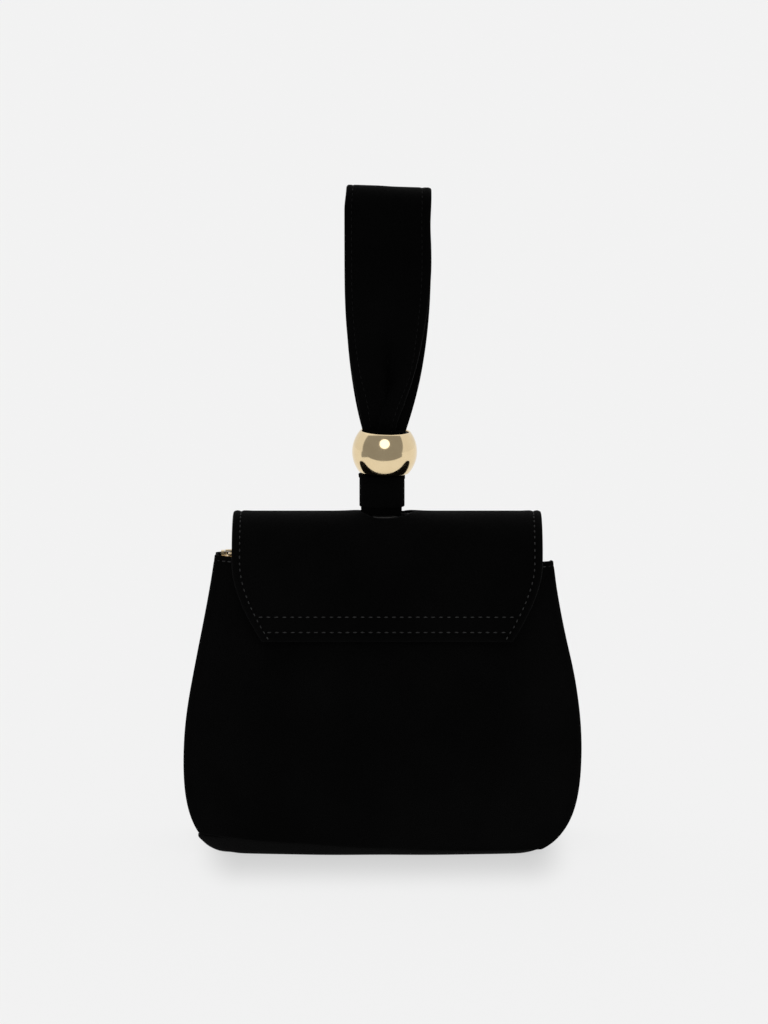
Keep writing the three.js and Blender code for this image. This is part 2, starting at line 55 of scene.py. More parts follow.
# ---- Driving dimensions --------
WIDEST_HALF = 100.0
WIDEST_Z = 50.0
MOUTH_Z = 148.5
MOUTH_HALF = 84.6
MOUTH_DEPTH = 18.3
MOUTH_GUSSET = 5.7
BASE_GUSSET = 26.2
BASE_HALF = 68.0
SEAM_Z = 4.5
CORNER_Z = 10.8
CROWN = 3.2
VALLEY = 4.4
VELVET = 1.6
LINING = 0.6
LINING_INSET = 3.2
FACING = 1.0
FACING_LOW = 128.0
MOUTH_STITCH = 2.5

ARCH = 19.0
FLAP_CLEAR = 0.7
FLAP_THICK = 3.4
FLAP_VELVET = 1.2
FLAP_BOTTOM = 110.3
FLAP_HALF = 77.4
FLAP_BOTTOM_HALF = 62.3
TAIL_LOW = 118.0
TAIL_HALF = 70.0
TURNED_EDGE = 2.4
SIDE_STITCH = 4.0
ROWS_Z = (114.9, 122.3)

SWING_Z = 171.5
BEAD_Z = 201.3
BEAD_RADIUS = 16.3
BEAD_HOLE = 11.8
BEAD_WALL = 1.2
STRAP_HALF = 21.5
STRAP_TOP = 334.6
PLY = 1.2
LOOP_RADIUS = 10.65
LOOP_CENTRE = STRAP_TOP - LOOP_RADIUS - PLY - 0.15


# ---- Curves --------
def bezier(points, t):
    """Points on a cubic curve."""
    t = np.asarray(t, float)[:, None]
    a, b, c, d = np.array(points, float)
    return (1 - t) ** 3 * a + 3 * (1 - t) ** 2 * t * b + 3 * (1 - t) * t**2 * c + t**3 * d


def by_height(*curves):
    """Curves drawn as (value, height), read as the value at a height."""
    points = np.vstack([bezier(curve, np.linspace(0, 1, 200)) for curve in curves])
    points = points[np.argsort(points[:, 1], kind="stable")]
    return lambda z: np.interp(z, points[:, 1], points[:, 0])


def through(*points):
    """A smooth curve through (place, value) points, level beyond both ends."""
    x, y = np.array(sorted(points), float).T
    slope = np.gradient(y, x)
    slope[[0, -1]] = 0

    def read(at):
        at = np.clip(np.asarray(at, float), x[0], x[-1])
        i = np.clip(np.searchsorted(x, at) - 1, 0, len(x) - 2)
        step = x[i + 1] - x[i]
        t = (at - x[i]) / step
        rise = (3 - 2 * t) * t * t
        bend = slope[i] * t * (1 - t) ** 2 - slope[i + 1] * t * t * (1 - t)
        return y[i] + (y[i + 1] - y[i]) * rise + step * bend

    return read


def smooth(t):
    """Rises from 0 to 1 without a corner."""
    t = np.clip(t, 0, 1)
    return t * t * (3 - 2 * t)


def mix(a, b, t):
    return a + (b - a) * t


SIDE = ((MOUTH_HALF, MOUTH_Z), (89.5, 115), (WIDEST_HALF, 85), (WIDEST_HALF, WIDEST_Z))
CORNER = ((WIDEST_HALF, WIDEST_Z), (WIDEST_HALF, 28), (97, 0), (BASE_HALF, 0))
DEPTH = ((31.5, SEAM_Z), (38, 25), (35, 80), (MOUTH_DEPTH, MOUTH_Z))
FLAP_EDGE = ((FLAP_HALF, MOUTH_Z), (FLAP_HALF, 138), (72, 125), (FLAP_BOTTOM_HALF, FLAP_BOTTOM))
STRAP_EDGE = ((11, 211.5), (15.5, 226), (21.5, 250), (STRAP_HALF, 290))
LEG = ((1.65, 212.7), (3, 240), (14, 290), (LOOP_RADIUS, LOOP_CENTRE))

half_width = by_height(SIDE, CORNER)
mid_depth = by_height(DEPTH)
flap_edge = by_height(FLAP_EDGE)
strap_edge = by_height(STRAP_EDGE)


def gusset_half(z):
    up = np.clip(z / MOUTH_Z, 0, 1)
    return MOUTH_GUSSET + (BASE_GUSSET - MOUTH_GUSSET) * (1 - up**1.3)


def panel_depth(x, z):
    """From the middle plane to a panel's outer face."""
    side = np.clip(np.abs(x) / half_width(z), 0, 1)
    edge = gusset_half(z)
    return edge + (mid_depth(z) - edge) * (1 - side**CROWN)


POUCH_LEAN = through((4, -1.9), (20, -1.4), (35, -1.0), (60, -0.65), (100, 0))
LEFT_FULLNESS = through((60, 0), (112, -0.15), (135, 0.2), (146, 0.35))
RIGHT_FULLNESS = through((60, 0), (85, -0.1), (112, -0.6), (135, -0.1), (146, 0.3))


def settled(points):
    """The pouch as it stands: it leans, and its mouth sags on the right and at the back."""
    out = np.array(points, float)
    x, y, z = out[..., 0].copy(), out[..., 1], out[..., 2].copy()
    up = smooth((z - 60) / (MOUTH_Z - 60))
    behind = smooth((y + 3) / 8) * mix(0.45, 2.9, smooth((x - 64) / 16))
    out[..., 2] += up * (-0.55 - 1.5 * x / MOUTH_HALF - behind)
    side = smooth(np.abs(x) / half_width(z))
    fullness = np.where(x < 0, -LEFT_FULLNESS(z), RIGHT_FULLNESS(z))
    out[..., 0] += POUCH_LEAN(z) + side * fullness
    return out


def ripple(x, z, size, seed):
    """Slow, uneven waves of about that size, in the same units as x and z."""
    a = np.sin(x / size + seed) * np.cos(z / (size * 0.8) + 1.7 * seed)
    b = np.sin((x + 0.7 * z) / (size * 0.55) + 2.3 * seed)
    return 0.65 * a + 0.35 * b


# ---- Meshes --------
def add_object(name, data):
    obj = bpy.data.objects.new(name, data)
    bpy.context.scene.collection.objects.link(obj)
    return obj


def add_mesh(name, points, faces, material):
    """A smooth-shaded mesh from points in millimetres."""
    mesh = bpy.data.meshes.new(name)
    mesh.from_pydata((np.asarray(points) * MM).tolist(), [], faces)
    mesh.validate()
    mesh.shade_smooth()
    mesh.materials.append(material)
    obj = add_object(name, mesh)
    return obj


def normals_of(points):
    """Unit normals of a grid of points, the first index crossed with the second."""
    n = np.cross(np.gradient(points, axis=0), np.gradient(points, axis=1))
    length = np.linalg.norm(n, axis=2, keepdims=True)
    return n / np.maximum(length, 1e-9)


def edge_distance(points):
    """Distance along the cloth from each grid point to the nearest edge."""

    def along(axis):
        steps = np.linalg.norm(np.diff(points, axis=axis), axis=2)
        pad = [(0, 0), (0, 0)]
        pad[axis] = (1, 0)
        run = np.pad(np.cumsum(steps, axis=axis), pad)
        total = run[-1:, :] if axis == 0 else run[:, -1:]
        return np.minimum(run, total - run)

    return np.minimum(along(0), along(1))


def cloth(name, points, thick, material, lift=0.0, roll=None, flip=False, hole=None):
    """A closed sheet about a grid of middle points; roll is how far its rounded edge reaches in."""
    normal = normals_of(points) * (-1 if flip else 1)
    middle = points + normal * np.asarray(lift)[..., None]
    inside = np.clip(edge_distance(points) / (roll or thick / 2), 0, 1)
    half = (thick / 2 * np.sqrt(1 - (1 - inside) ** 2))[..., None]
    n, m = points.shape[:2]
    top = np.arange(n * m).reshape(n, m)
    under = top.copy()
    under[1:-1, 1:-1] = n * m + np.arange((n - 2) * (m - 2)).reshape(n - 2, m - 2)
    every = np.vstack(
        [
            (middle + normal * half).reshape(-1, 3),
            (middle - normal * half)[1:-1, 1:-1].reshape(-1, 3),
        ]
    )
    kept = np.ones((n - 1, m - 1), bool) if hole is None else ~hole
    faces = []
    for grid, turned in ((top, flip), (under, not flip)):
        corners = [grid[:-1, :-1], grid[1:, :-1], grid[1:, 1:], grid[:-1, 1:]]
        quads = np.stack(corners[::-1] if turned else corners, -1)
        faces += quads[kept].tolist()
    if hole is not None:
        faces += hole_walls(top, under, hole)
        every, faces = without_loose(every, faces)
    return add_mesh(name, every, faces, material)


def hole_walls(top, under, hole):
    """The faces that join both sides of the cloth round a hole."""
    walls = []
    for i, j in zip(*np.nonzero(hole)):
        for di, dj, a, b in (
            (-1, 0, (i, j), (i, j + 1)),
            (1, 0, (i + 1, j + 1), (i + 1, j)),
            (0, -1, (i + 1, j), (i, j)),
            (0, 1, (i, j + 1), (i + 1, j + 1)),
        ):
            if not hole[i + di, j + dj]:
                walls.append([int(top[a]), int(top[b]), int(under[b]), int(under[a])])
    return walls


def without_loose(points, faces):
    """Drops the points that no face uses."""
    used = sorted({i for face in faces for i in face})
    place = {old: new for new, old in enumerate(used)}
    return points[used], [[place[i] for i in face] for face in faces]


def tube_faces(first, rings, sides, turned=False):
    """The faces of a closed tube: rings of points, numbered on from the first."""
    last = first + (rings - 1) * sides
    faces = []
    for ring in range(first, last, sides):
        for j in range(sides):
            a, b = ring + j, ring + (j + 1) % sides
            faces.append([a, b, b + sides, a + sides])
    faces.append(list(range(first, first + sides))[::-1])
    faces.append(list(range(last, last + sides)))
    return [face[::-1] for face in faces] if turned else faces


def swept(name, loop, profile, material, shift=None):
    """A closed band: a profile of (outward, height) carried round a loop of (point, direction)."""
    at, out = loop
    profile = np.array(profile, float)
    ring = at[:, None, :] + out[:, None, :] * profile[None, :, :1]
    height = np.broadcast_to(profile[None, :, 1:], ring.shape[:2] + (1,))
    points = np.concatenate([ring, height], 2)
    if shift is not None:
        points = shift(points)
    n, m = points.shape[:2]
    index = np.arange(n * m).reshape(n, m)
    onward, upward = np.roll(index, -1, 0), np.roll(index, -1, 1)
    both = np.roll(onward, -1, 1)
    faces = np.stack([index, onward, both, upward], -1).reshape(-1, 4).tolist()
    return add_mesh(name, points.reshape(-1, 3), faces, material)


def circle_loop(count=128):
    angle = np.linspace(0, 2 * math.pi, count, endpoint=False)
    out = np.stack([np.cos(angle), np.sin(angle)], 1)
    return np.zeros((count, 2)), out


def squared_off(wave, power):
    return np.sign(wave) * np.abs(wave) ** power


def oval_loop(half_x, half_y, power=2.0, count=96):
    """A rounded oval; a power above 2 squares it off."""
    angle = np.linspace(0, 2 * math.pi, count, endpoint=False)
    c, s = np.cos(angle), np.sin(angle)
    flatness = 2 / power
    at = np.stack([half_x * squared_off(c, flatness), half_y * squared_off(s, flatness)], 1)
    ahead = np.roll(at, -1, 0) - np.roll(at, 1, 0)
    out = np.stack([ahead[:, 1], -ahead[:, 0]], 1)
    return at, out / np.linalg.norm(out, axis=1, keepdims=True)


def arc(radius, angles, x=0.0, z=0.0):
    return [(x + radius * math.cos(a), z + radius * math.sin(a)) for a in angles]


def rounded(low, high, inner, outer, radius, steps=4):
    """A rectangle's outline with round corners, as (outward, height) for swept()."""
    corners = (
        (outer - radius, low + radius, -0.5),
        (outer - radius, high - radius, 0.0),
        (inner + radius, high - radius, 0.5),
        (inner + radius, low + radius, 1.0),
    )
    outline = []
    for x, z, turn in corners:
        angles = [math.pi * (turn + 0.5 * step / steps) for step in range(steps + 1)]
        outline += arc(radius, angles, x, z)
    return outline


def stitches(name, path, out, pitch, body, length=2.5, radius=0.32, start=0.5, yarn=None):
    """A row of raised stitches along a path, each one sunk at its ends."""
    run = np.concatenate([[0], np.cumsum(np.linalg.norm(np.diff(path, axis=0), axis=1))])
    sides, rings = 6, 6
    turn = np.linspace(0, 2 * math.pi, sides, endpoint=False)
    share = np.linspace(0, 1, rings)
    points, faces = [], []
    count = round((run[-1] - start) / pitch)
    pitch = (run[-1] - start) / count
    for k in range(count):
        low = start + k * pitch + 0.12 * math.sin(5.1 * k)
        centre = np.stack([np.interp(low + share * length, run, path[:, i]) for i in range(3)], 1)
        up = np.stack([np.interp(low + share * length, run, out[:, i]) for i in range(3)], 1)
        ahead = centre[-1] - centre[0]
        side = np.cross(up, ahead / np.linalg.norm(ahead))
        bulge = 1 - (2 * share - 1) ** 2
        centre = centre + up * (radius * (1.15 * bulge - 0.75))[:, None]
        width = (radius * np.sqrt(0.15 + 0.85 * bulge))[:, None, None]
        ring = np.cos(turn)[None, :, None] * side[:, None] + np.sin(turn)[None, :, None] * up[:, None]
        faces += tube_faces(len(points), rings, sides)
        points += (centre[:, None] + ring * width).reshape(-1, 3).tolist()
    obj = add_mesh(name, points, faces, yarn or THREAD)
    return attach(obj, body) if body else obj


# ---- Materials --------
def node(tree, kind, inputs=(), **settings):
    made = tree.nodes.new(kind)
    for key, value in settings.items():
        setattr(made, key, value)
    for key, value in dict(inputs).items():
        if isinstance(value, bpy.types.NodeSocket):
            tree.links.new(value, made.inputs[key])
        else:
            made.inputs[key].default_value = value
    return made


def material(name, roughness, metallic=0.0, specular=0.5):
    """A material with its shader, and the place on the object that its patterns read."""
    made = bpy.data.materials.new(name)
    made.use_nodes = True
    tree = made.node_tree
    shader = tree.nodes["Principled BSDF"]
    shader.inputs["Roughness"].default_value = roughness
    shader.inputs["Metallic"].default_value = metallic
    shader.inputs["Specular IOR Level"].default_value = specular
    place = node(tree, "ShaderNodeTexCoord").outputs["Object"]
    return made, tree, shader, place


def noise(tree, place, scale, detail=3.0, stretch=None):
    if stretch:
        place = node(tree, "ShaderNodeMapping", {"Vector": place, "Scale": stretch}).outputs[0]
    settings = {"Vector": place, "Scale": scale, "Detail": detail}
    return node(tree, "ShaderNodeTexNoise", settings).outputs["Fac"]


def weave(tree, place, scale):
    """Threads that cross, from 0 to 1."""
    wave = {"Vector": place, "Scale": scale, "Distortion": 0.4}
    bands = [
        node(tree, "ShaderNodeTexWave", wave, bands_direction=direction).outputs["Fac"]
        for direction in ("X", "Z")
    ]
    return node(tree, "ShaderNodeMath", enumerate(bands), operation="MULTIPLY").outputs[0]


def remap(tree, value, low, high, to_low=0.0, to_high=1.0, **settings):
    """The value carried from one range to another."""
    inputs = {"Value": value, "From Min": low, "From Max": high}
    inputs |= {"To Min": to_low, "To Max": to_high}
    return node(tree, "ShaderNodeMapRange", inputs, **settings).outputs[0]


def vary(tree, shader, fac, low, high, dark, light):
    """Colour that follows a pattern; low and high are the pattern's usual range."""
    spread = remap(tree, fac, low, high)
    ends = {"Factor": spread, "A": (*dark, 1), "B": (*light, 1)}
    colour = node(tree, "ShaderNodeMix", ends, data_type="RGBA")
    tree.links.new(colour.outputs[2], shader.inputs["Base Color"])
    return spread


def raise_by(tree, shader, height, strength, distance):
    inputs = {"Height": height, "Strength": strength, "Distance": distance}
    bump = node(tree, "ShaderNodeBump", inputs)
    tree.links.new(bump.outputs[0], shader.inputs["Normal"])


def grey(level):
    return (level, level, level)


def patterned(name, grain, tones, rough, bump, relief=None, sheen=0.0, **shine):
    """A material coloured and roughened by one pattern, and raised by it or by another one.

    grain and relief say how a pattern is made; tones are its range, dark and light colour;
    rough is the least and most roughness; bump is the relief's strength and depth.
    """
    made, tree, shader, place = material(name, rough[1], **shine)
    fac = grain[0](tree, place, *grain[1:])
    spread = vary(tree, shader, fac, *tones)
    tree.links.new(remap(tree, spread, 0, 1, *rough), shader.inputs["Roughness"])
    height = relief[0](tree, place, *relief[1:]) if relief else fac
    raise_by(tree, shader, height, *bump)
    shader.inputs["Sheen Weight"].default_value = sheen
    return made


def velvet(name, dark, light, specular):
    nap, pile = (noise, 22, 5), (noise, 1900, 3)
    tones = (0.35, 0.65, grey(dark), grey(light))
    bump = (0.55, 0.0004)
    made = patterned(name, nap, tones, (0.85, 1.0), bump, pile, 0.015, specular=specular)
    shader = made.node_tree.nodes["Principled BSDF"]
    shader.inputs["Sheen Roughness"].default_value = 0.35
    shader.inputs["Sheen Tint"].default_value = (0.9, 0.9, 0.92, 1)
    return made


def pale_gold(name, smoothest, roughest):
    wear, brushing = (noise, 220, 4), (noise, 900, 2, (1, 1, 0.15))
    tones = (0.3, 0.7, (0.83, 0.66, 0.405), (0.87, 0.70, 0.435))
    rough = (smoothest, roughest)
    return patterned(name, wear, tones, rough, (0.02, 0.0002), brushing, metallic=1.0)


def thread(name, dark, light, specular, sheen):
    twist = (noise, 1500, 2, (1, 1, 0.4))
    tones = (0.35, 0.65, grey(dark), grey(light))
    bump = (0.4, 0.0002)
    return patterned(name, twist, tones, (0.5, 0.7), bump, None, sheen, specular=specular)


def edge_gloss():
    """Polished at the middle of the slot, dull towards its ends where the strap rubs it."""
    made, tree, shader, place = material("slot_edge_gloss", 0.3, specular=0.3)
    vary(tree, shader, noise(tree, place, 260, 3), 0.35, 0.65, grey(0.003), grey(0.006))
    across_slot = node(tree, "ShaderNodeSeparateXYZ", {0: place}).outputs["X"]
    aside = node(tree, "ShaderNodeMath", {0: across_slot}, operation="ABSOLUTE").outputs[0]
    tree.links.new(remap(tree, aside, 0.004, 0.008, 0.28, 1.0), shader.inputs["Roughness"])
    raise_by(tree, shader, noise(tree, place, 700, 2), 0.08, 0.0002)
    return made


VELVET_PILE = velvet("velvet", 0.0003, 0.0019, 0.045)
# A lighter copy of the same velvet for the base: painted light, standing in for the floor's light on
# the band under the front seam.
BASE_PILE_PAINTED_LIGHTER = velvet("base_velvet_painted_lighter", 0.0013, 0.0026, 0.1)
SATIN = patterned(
    "satin_lining",
    grain=(noise, 40, 4),
    tones=(0.35, 0.65, grey(0.007), grey(0.014)),
    rough=(0.38, 0.55),
    relief=(weave, 900),
    bump=(0.25, 0.0002),
    sheen=0.05,
    specular=0.4,
)
TAPE = patterned(
    "zip_tape_weave",
    grain=(weave, 650),
    tones=(0.0, 0.8, grey(0.004), grey(0.011)),
    rough=(0.7, 0.9),
    bump=(0.6, 0.0003),
    specular=0.2,
)
GOLD = pale_gold("pale_gold_metal", 0.07, 0.13)
ZIP_GOLD = pale_gold("zip_gold_metal", 0.3, 0.4)
STEEL = patterned(
    "magnet_steel",
    grain=(noise, 700, 3, (1, 1, 0.1)),
    tones=(0.3, 0.7, (0.30, 0.30, 0.31), (0.42, 0.42, 0.43)),
    rough=(0.3, 0.5),
    bump=(0.1, 0.0001),
    metallic=1.0,
)
GLOSS = edge_gloss()
RUBBER = patterned(
    "bead_liner_rubber",
    grain=(noise, 300, 3),
    tones=(0.35, 0.65, grey(0.009), grey(0.015)),
    rough=(0.5, 0.7),
    relief=(noise, 1200, 2),
    bump=(0.2, 0.0002),
    specular=0.3,
)
BOARD = patterned(
    "grey_board",
    grain=(noise, 500, 5, (1, 0.4, 1)),
    tones=(0.3, 0.7, (0.11, 0.10, 0.085), (0.19, 0.175, 0.15)),
    rough=(0.8, 1.0),
    bump=(0.4, 0.0003),
    specular=0.2,
)
THREAD = thread("sewing_thread", 0.007, 0.014, 0.4, 0.06)
DARK_THREAD = thread("dark_sewing_thread", 0.0006, 0.0014, 0.15, 0.02)


# ---- Grids --------
CLOSE = np.array([0, 0.12, 0.35, 0.7, 1.2, 1.9, 2.8, 4.2, 6.0])
STITCHED = np.array([0, 0.12, 0.35, 0.7, 1.2, 1.8, 2.5, 3.1, 3.6, 4.0, 4.4, 4.9, 5.6, 7.0])


def across(half, near, count):
    """Columns from -half to half: set distances from each edge, then even steps between."""
    half = np.asarray(half, float)
    left = -half[None, :] + near[:, None]
    share = np.linspace(-1, 1, count + 1)[1:-1, None]
    return np.vstack([left, share * (half - near[-1])[None, :], -left[::-1]])


def span(low, high, near_low, near_high, count):
    """Rows from low to high: set distances from each end, then even steps between."""
    start, end = low + near_low, high - near_high[::-1]
    return np.concatenate([start, np.linspace(start[-1], end[0], count + 1)[1:-1], end])


def dent(distance, width):
    return np.exp(-((distance / width) ** 2))


# ---- Pouch --------
BASE_INSET = 1.1
BASE_CURL = 3.7
LEFT_CURL_TOP = 4.5
BULGE_DEPTH = 2.4
BULGE_X = -87.0
BULGE_LENGTH = 14.0
BULGE_REACH = 6.0
POCKET_LOW, POCKET_HIGH, POCKET_HALF = 55, 110, 42
SEAM_RISE = through((-90, 5.9), (-55, 3.1), (-34, 2.0), (-16, 0.4), (17, -1.0), (72, -2.0))


def panel_grid(sign, inset, low, high, margin, near, count, rows, rise=None):
    """Middle points of a sheet that follows the front (-1) or back (1) panel."""
    z = span(low, high, near, near, rows)
    x = across(half_width(z) - margin, near, count)
    z = np.broadcast_to(z, x.shape)
    if rise:
        level = z + rise(x) * (1 - smooth((z - low) / 30))
        x = x * half_width(level) / half_width(z)
        z = level
    return np.stack([x, sign * (panel_depth(x, z) - inset), z], 2)


def outer_panel(side, sign):
    rise = SEAM_RISE if sign < 0 else None
    points = panel_grid(sign, VELVET / 2, SEAM_Z, MOUTH_Z, 0, STITCHED, 64, 70, rise)
    x, z = points[..., 0], points[..., 2]
    free = smooth((FLAP_BOTTOM - 4 - z) / 30) * smooth((z - 4) / 20)
    edge = half_width(z) - np.abs(x)
    lift = free * (0.55 * ripple(x, z, 26, 0.8 + sign) + 0.2 * ripple(x, z, 9, 2.1))
    lift += -0.3 * dent(MOUTH_Z - MOUTH_STITCH - z, 0.6)
    lift += 0.35 * dent(edge - 2.2, 1.6) * smooth((z - 8) / 10)
    obj = cloth(f"{side}_panel_velvet", settled(points), VELVET, VELVET_PILE, lift, 1.3, sign > 0)
    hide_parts(f"{side}_panel")
    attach(obj, "root")
    x = np.linspace(-MOUTH_HALF, MOUTH_HALF, 160)
    z = np.full_like(x, MOUTH_Z - MOUTH_STITCH)
    path = settled(np.stack([x, sign * (panel_depth(x, z) - 0.2), z], 1))
    out = np.tile([0.0, sign, 0.15], (len(x), 1))
    stitches(f"{side}_mouth_stitches", path, out, 3.1, "root", start=0.75)


def outline(count=26):
    """The pouch's outline from the left bottom corner along the floor to the right one."""
    t = np.linspace(0.55, 1, 400)
    corner = bezier(CORNER, t)
    corner = corner[corner[:, 1] <= CORNER_Z - 0.5]
    corner = corner[np.linspace(0, len(corner) - 1, count).astype(int)]
    left = corner * [-1, 1]
    flat = np.stack([np.linspace(-BASE_HALF, BASE_HALF, 50)[1:-1], np.zeros(48)], 1)
    return np.vstack([left, flat, corner[::-1]])


def base():
    """The base, with rolled edges, a band that shows under the front seam, and a fuller left corner."""
    path = outline()
    ahead = np.gradient(path, axis=0)
    ahead /= np.linalg.norm(ahead, axis=1, keepdims=True)
    inward = np.stack([-ahead[:, 1], ahead[:, 0]], 1)
    z = np.maximum(SEAM_Z, path[:, 1])
    reach = panel_depth(np.minimum(np.abs(path[:, 0]), half_width(z)), z) - BASE_INSET
    y = across(reach, CLOSE, 24)
    curl_top = np.where(path[:, 0] < 0, LEFT_CURL_TOP, CORNER_Z)
    curl = BASE_CURL * np.clip(1 - path[:, 1] / curl_top, 0, 1)
    from_edge = reach - np.abs(y)
    near = np.clip(from_edge, 0, curl)
    depth = VELVET / 2 + curl - np.sqrt(np.maximum(curl**2 - (curl - near) ** 2, 0))
    uncovered = np.maximum(SEAM_Z + SEAM_RISE(path[:, 0]) - path[:, 1] - curl + 0.6, 0)
    band = uncovered * smooth(1 - from_edge / VELVET) * (y < 0)
    bulge = BULGE_DEPTH * smooth(1 - np.abs(path[:, 0] - BULGE_X) / BULGE_LENGTH)
    bulge = bulge * smooth(1 - from_edge / BULGE_REACH) * (y < 0)
    at = path[None] + inward[None] * (depth - bulge)[..., None]
    points = np.stack([at[..., 0], y, at[..., 1] + band], 2)
    lift = 0.15 * ripple(points[..., 0], y, 14, 0.4) * smooth((12 - depth) / 8)
    # The base gets the lighter, painted copy of the velvet.
    obj = cloth("base_velvet", settled(points), VELVET, BASE_PILE_PAINTED_LIGHTER, lift, 1.2)
    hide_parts("base_panel")
    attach(obj, "root")


def side_outline(low, high, rows, near):
    """Places and inward directions down the right side of the pouch."""
    z = span(low, high, near, near, rows)
    step = 0.4
    slope = (half_width(z + step) - half_width(z - step)) / (2 * step)
    inward = np.stack([-np.ones_like(z), slope], 1)
    inward /= np.linalg.norm(inward, axis=1, keepdims=True)
    return z, np.stack([half_width(z), z], 1), inward


def gusset_grid(sign, inset, low, high, margin, rows, near, count):
    z, at, inward = side_outline(low, high, rows, near)
    y = across(gusset_half(z) - margin, near, count)
    share = y / (gusset_half(z) - 0.8)
    fade = np.sin(np.pi * np.clip((z - CORNER_Z) / (MOUTH_Z - CORNER_Z), 0, 1))
    depth = inset + VALLEY * fade * (1 - share**2)
    place = at[None] + inward[None] * depth[..., None]
    return np.stack([sign * place[..., 0], y, place[..., 1]], 2)


def gusset(side, sign):
    points = gusset_grid(sign, 0.9, CORNER_Z, MOUTH_Z, 0.95, 60, CLOSE[:-2], 12)
    y, z = points[..., 1], points[..., 2]
    lift = 0.3 * ripple(y * 2, z, 16, 1.3 * sign) * smooth((z - 12) / 20)
    lift = lift - 0.5 * dent(y, 1.6) * smooth((z - 30) / 60)
    flip = sign < 0
    obj = cloth(f"{side}_gusset_velvet", settled(points), VELVET, VELVET_PILE, lift, 1.1, flip)
    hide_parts(f"{side}_gusset")
    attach(obj, "root")
    points = gusset_grid(sign, 3.4, CORNER_Z + 4, FACING_LOW, 6.4, 24, CLOSE[:-3], 8)
    name = f"{side}_gusset_satin"
    obj = cloth(name, settled(points), LINING, SATIN, 0, None, flip)
    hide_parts(f"{side}_gusset_lining")
    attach(obj, "root")


def panel_lining(side, sign):
    points = panel_grid(sign, LINING_INSET + LINING / 2, CORNER_Z + 3, FACING_LOW, 5, CLOSE, 30, 24)
    x, z = points[..., 0], points[..., 2]
    calm = smooth((FACING_LOW - z) / 20)
    lift = 0.35 * calm * ripple(x, z, 12, 3.0 + sign)
    flip = sign > 0
    name = f"{side}_satin"
    obj = cloth(name, settled(points), LINING, SATIN, lift - 0.3, None, flip)
    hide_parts(f"{side}_lining")
    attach(obj, "root")


def mouth_facing(side, sign):
    inset = VELVET + FACING / 2 + 0.15
    points = panel_grid(sign, inset, FACING_LOW, MOUTH_Z - 0.7, 5.2, CLOSE[:-2], 40, 8)
    obj = cloth(f"{side}_facing_velvet", settled(points), FACING, VELVET_PILE, 0, None, sign > 0)
    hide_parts(f"{side}_facing")
    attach(obj, "root")


def slip_pocket():
    z = span(POCKET_LOW, POCKET_HIGH, CLOSE[:-2], CLOSE[:-2], 14)
    x = across(np.full_like(z, POCKET_HALF), CLOSE[:-2], 20)
    z = np.broadcast_to(z, x.shape)
    y = panel_depth(x, z) - LINING_INSET - LINING - 1.0
    sag = 1.2 * smooth((z - 80) / 30) * (1 - (x / POCKET_HALF) ** 2)
    points = np.stack([x, y - sag, z - 0.6 * sag], 2)
    lift = 0.25 * ripple(x, z, 8, 1.1) - 0.25 * dent(POCKET_HIGH - 6 - z, 0.8)
    obj = cloth("slip_pocket_satin", settled(points), 1.1, SATIN, lift, None, True)
    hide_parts("slip_pocket")
    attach(obj, "root")


def base_lining():
    x = across(np.full(21, 65.5), CLOSE[:-3], 24)
    y = np.broadcast_to(np.linspace(-22, 22, 21), x.shape)
    z = 4.0 + 0.2 * ripple(x, y, 13, 0.3)
    points = settled(np.stack([x, y, z], 2))
    obj = cloth("base_satin", points, LINING, SATIN)
    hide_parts("base_lining")
    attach(obj, "root")


# ---- Zip --------
ZIP_Z = 145.9
ZIP_LEFT = -77.0
ZIP_RIGHT = 61.0
TOOTH_PITCH = 3.0
TAPE_HALF = 7.8


def flat_strip(name, sign, x, inner, outer, z, thick, surface):
    """A flat strip beside the zip, from an inner line to an outer line."""
    share = np.array([0, 0.03, 0.09, 0.2, 0.4, 0.6, 0.8, 0.91, 0.97, 1])
    y = sign * (inner[:, None] + (outer - inner)[:, None] * share)
    xs = np.broadcast_to(x[:, None], y.shape)
    points = np.stack([xs, y, np.full_like(y, z)], 2)
    lift = 0.05 * ripple(xs, y, 6, 0.9)
    return cloth(name, points, thick, surface, lift, None, sign < 0)


def zip_half(side, sign):
    """One tape with its teeth."""
    x = span(ZIP_LEFT, ZIP_RIGHT + 3, CLOSE[:5], CLOSE[:5], 60)
    room = panel_depth(x, np.full_like(x, ZIP_Z)) - VELVET - FACING - 0.9
    inner = np.full_like(x, 2.2)
    outer = np.minimum(TAPE_HALF, room)
    tape = flat_strip(f"{side}_tape", sign, x, inner, outer, ZIP_Z, 0.6, TAPE)
    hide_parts(f"{side}_zip_tape")
    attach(tape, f"{side}_tape")
    row = teeth(f"{side}_teeth", sign)
    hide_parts(f"{side}_zip_teeth")
    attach(row, f"{side}_tape")


def teeth(name, sign):
    """Separate teeth, each a waisted block clamped over the tape's cord."""
    shift = TOOTH_PITCH / 2 if sign > 0 else 0
    first = ZIP_LEFT + shift + 1.05
    count = int((ZIP_RIGHT - ZIP_LEFT - shift - 1.8) / TOOTH_PITCH)
    outline_y = np.array([0.15, 0.4, 1.0, 1.6, 2.6, 3.1])
    half_x = np.array([0.45, 0.72, 0.66, 0.78, 0.95, 0.8])
    half_z = np.array([0.5, 0.72, 0.8, 0.9, 0.9, 0.7])
    sides = 12
    turn = np.linspace(0, 2 * math.pi, sides, endpoint=False)
    c, s = squared_off(np.cos(turn), 0.5), squared_off(np.sin(turn), 0.5)
    points, faces = [], []
    for k in range(count):
        x = first + k * TOOTH_PITCH + half_x[:, None] * c
        y = np.broadcast_to(sign * outline_y[:, None], x.shape)
        z = ZIP_Z + half_z[:, None] * s
        faces += tube_faces(len(points), len(outline_y), sides, sign > 0)
        points += np.stack([x, y, z], 2).reshape(-1, 3).tolist()
    return add_mesh(name, points, faces, ZIP_GOLD)


